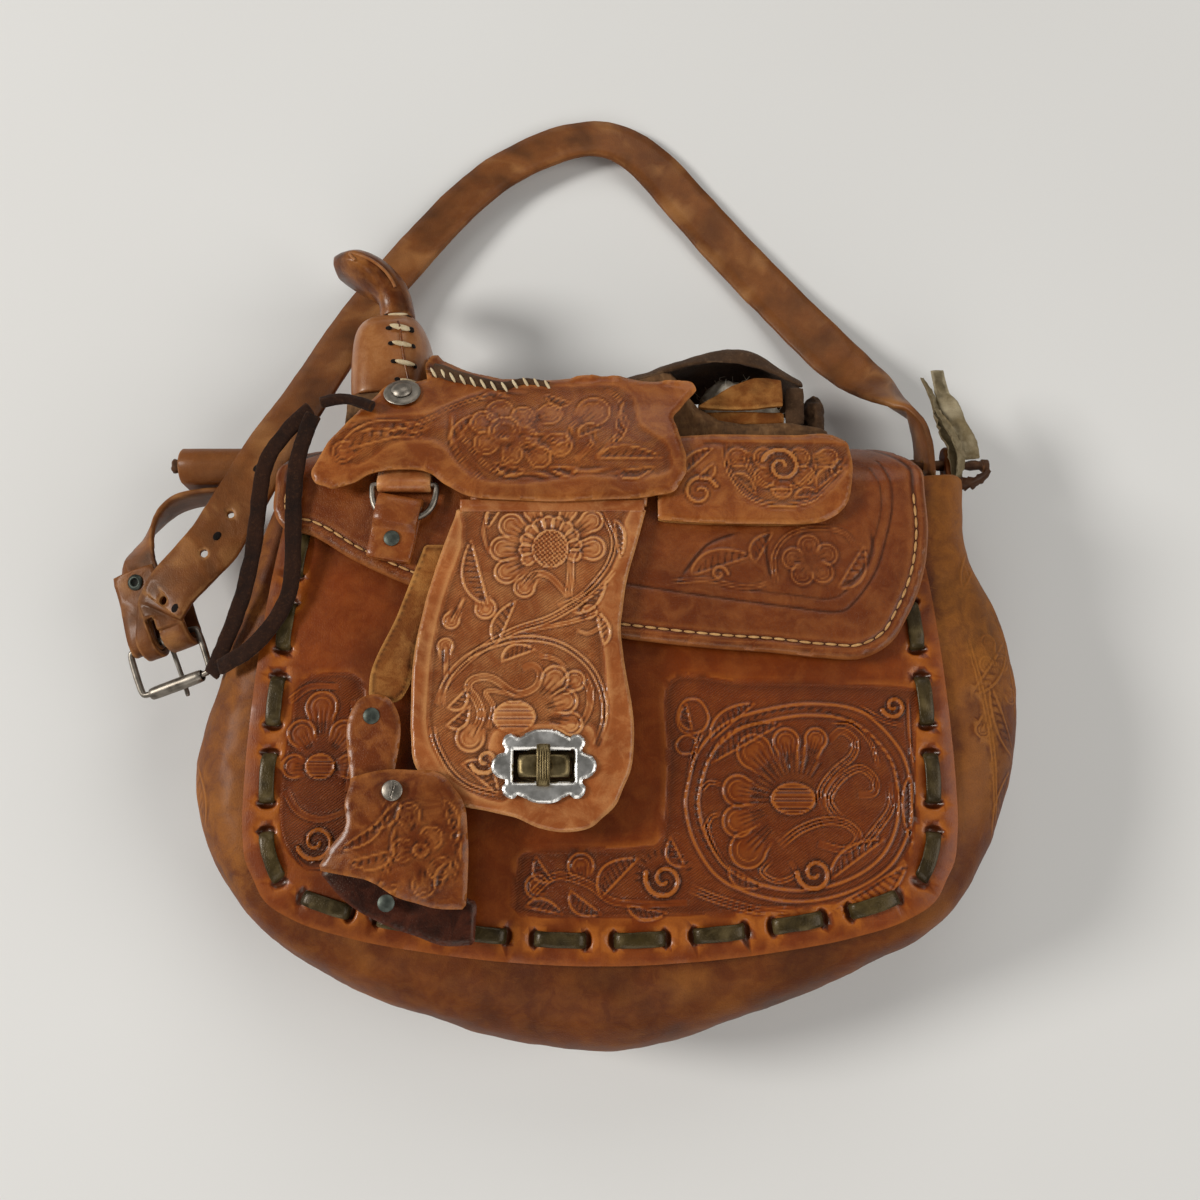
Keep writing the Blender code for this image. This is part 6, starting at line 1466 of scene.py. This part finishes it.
def plateLoops():
    # The plate's scalloped edge, drawn over an enlarged part of the photograph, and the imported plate's slot
    half = [(742, 1062), (790, 1068), (836, 1092), (852, 1100), (868, 1086), (893, 1086), (911, 1103), (914, 1128),
            (903, 1148), (906, 1160), (936, 1170), (957, 1192), (963, 1215), (957, 1238), (936, 1260), (906, 1270),
            (903, 1282), (916, 1302), (912, 1328), (894, 1346), (868, 1348), (852, 1334), (836, 1340), (790, 1364)]
    work = Relief((-0.05, -0.05), (0.01, 0.0), corner=(370, 480), scale=4.239, level=0.0905)
    whole = half + [(742, 1370)] + [(1484 - x, y) for x, y in half[:0:-1]]
    edge = [Vector(work.spot(point)) / 1000 for point in whole]
    solid = solidOf("lock_plate")
    loops = loopsOf(solid)
    low, high = (Vector(corner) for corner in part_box("lock_plate"))
    middle, box = (low + high) / 2, sum(edge, Vector((0, 0))) / len(edge)
    wide = max(p.x for p in edge) - min(p.x for p in edge)
    tall = max(p.y for p in edge) - min(p.y for p in edge)
    fit = Vector(((high.x - low.x) / wide, (high.y - low.y) / tall))
    fitted = [Vector((middle.x + (p.x - box.x) * fit.x, middle.y + (p.y - box.y) * fit.y)) for p in edge]
    return solid, [eased(fitted, 50), eased(loops[1], 60)]


plateSolid, plateEdges = plateLoops()
plateWork = reliefFor("lock_plate", cell=0.2)
plateWork.edging(plateEdges[0], 1.1, 0.5, 0.25)
sheet("lock_plate", "plate", bodyOf["lock_plate"], plateEdges, lockPiece["plate"], lockPiece["step"],
      solid=plateSolid, relief=plateWork, replaced=["lock_plate"], roundness=0.0008, wave=0.00022, waveScale=150)
plateSolid.free()
for brass in ("lock_boss", "lock_washer", "lock_knob"):
    rounded(brass, "brass", 2, 0.75, 35, wear=0.001)
knobLow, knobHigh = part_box("lock_knob")
knobMiddle = (Vector(knobLow) + Vector(knobHigh)) / 2
ribRows = []
for index in range(lockPiece["ribs"]):
    x = knobMiddle.x + lockPiece["span"] * (index / (lockPiece["ribs"] - 1) - 0.5)
    ribRows.append((Vector((x, knobMiddle.y, knobHigh[2] - lockPiece["ribSink"])), Vector((0, 1, 0)),
                    Vector((0, 0, 1)), lockPiece["rib"]))
beads("knob_ribs", "brass", "lock_turn_knob", ribRows)

# Shoulder strap, billet and buckle
strapPiece = {"holes": [(257, 468), (217, 536), (175, 608)], "hole": (0.0021, 0.0016, 0.0003)}
rounded("shoulder_strap", "strap", 2, 0.8, 45, 0.0004, 70, wear=0.0022)
rounded("billet", "strap", 2, 0.7, 45, 0.0003, 90, wear=0.002)
rounded("billet_tab", "strap", 2, 0.7, 45, wear=0.002)
holeRows = []
for px, py in strapPiece["holes"]:
    spot, out = onPart(px, py, "shoulder_strap")
    holeRows.append((spot, Vector((0.5, 0.86, 0)), out, strapPiece["hole"]))
beads("strap_holes", "dark", "strap", holeRows)
rounded("billet_eyelet", "rivet", 2, 0.5)
for metal in ("buckle_frame", "buckle_roller", "buckle_prong"):
    rounded(metal, "steel", 2, 0.3, 55)
print("strap and hardware dressed")

# The photograph's camera, a pale floor and soft light from the left
cameraData = bpy.data.cameras.new("photograph")
cameraData.sensor_width = 36
cameraData.lens = view["focalPixels"] / view["imageSize"] * cameraData.sensor_width
camera = bpy.data.objects.new("photograph", cameraData)
bpy.context.scene.collection.objects.link(camera)
camera.location = viewPoint
camera.rotation_euler = (view["tilt"], 0, 0)
bpy.context.scene.camera = camera

studio = {"floor": shade(226, 226, 224), "size": 12.0, "world": 0.12, "tint": (1.0, 0.99, 0.975),
          "aim": (0, 0.06, 0.05), "lampTint": (1.0, 0.98, 0.95), "lamps": [
    # name, turn and height in degrees, distance, size and power
    ("key", 176, 34, 2.6, 0.75, 46.0), ("back", 80, 42, 2.4, 1.6, 11.0), ("side", -12, 38, 2.2, 1.6, 18.5),
    ("near", -95, 38, 2.4, 1.6, 12.5)]}
floorLook = Look("pale_floor")
floorLook.finish(floorLook.tint(floorLook.grain(3, 2), studio["floor"], shade(220, 219, 216)), 0.9)
floorMesh = bmesh.new()
bmesh.ops.create_grid(floorMesh, x_segments=2, y_segments=2, size=studio["size"] / 2,
                      matrix=Matrix.Translation((0, 0, cadBox[0][2] - 0.0002)))
floorData = bpy.data.meshes.new("floor")
floorMesh.to_mesh(floorData)
floorMesh.free()
floorData.materials.append(floorLook.material)
floor = bpy.data.objects.new("floor", floorData)
bpy.context.scene.collection.objects.link(floor)

for name, turn, height, distance, size, power in studio["lamps"]:
    lampData = bpy.data.lights.new(name, "AREA")
    lampData.shape, lampData.size, lampData.energy = "DISK", size, power
    lampData.color = studio["lampTint"]
    lamp = bpy.data.objects.new(name, lampData)
    bpy.context.scene.collection.objects.link(lamp)
    turn, height = math.radians(turn), math.radians(height)
    way = Vector((math.cos(height) * math.cos(turn), math.cos(height) * math.sin(turn), math.sin(height)))
    lamp.location = Vector(studio["aim"]) + way * distance
    lamp.rotation_euler = way.to_track_quat("Z", "Y").to_euler()
world = bpy.data.worlds.new("studio")
world.use_nodes = True
world.node_tree.nodes["Background"].inputs["Color"].default_value = (*studio["tint"], 1)
world.node_tree.nodes["Background"].inputs["Strength"].default_value = studio["world"]
bpy.context.scene.world = world
bpy.context.scene.view_settings.view_transform = "Standard"
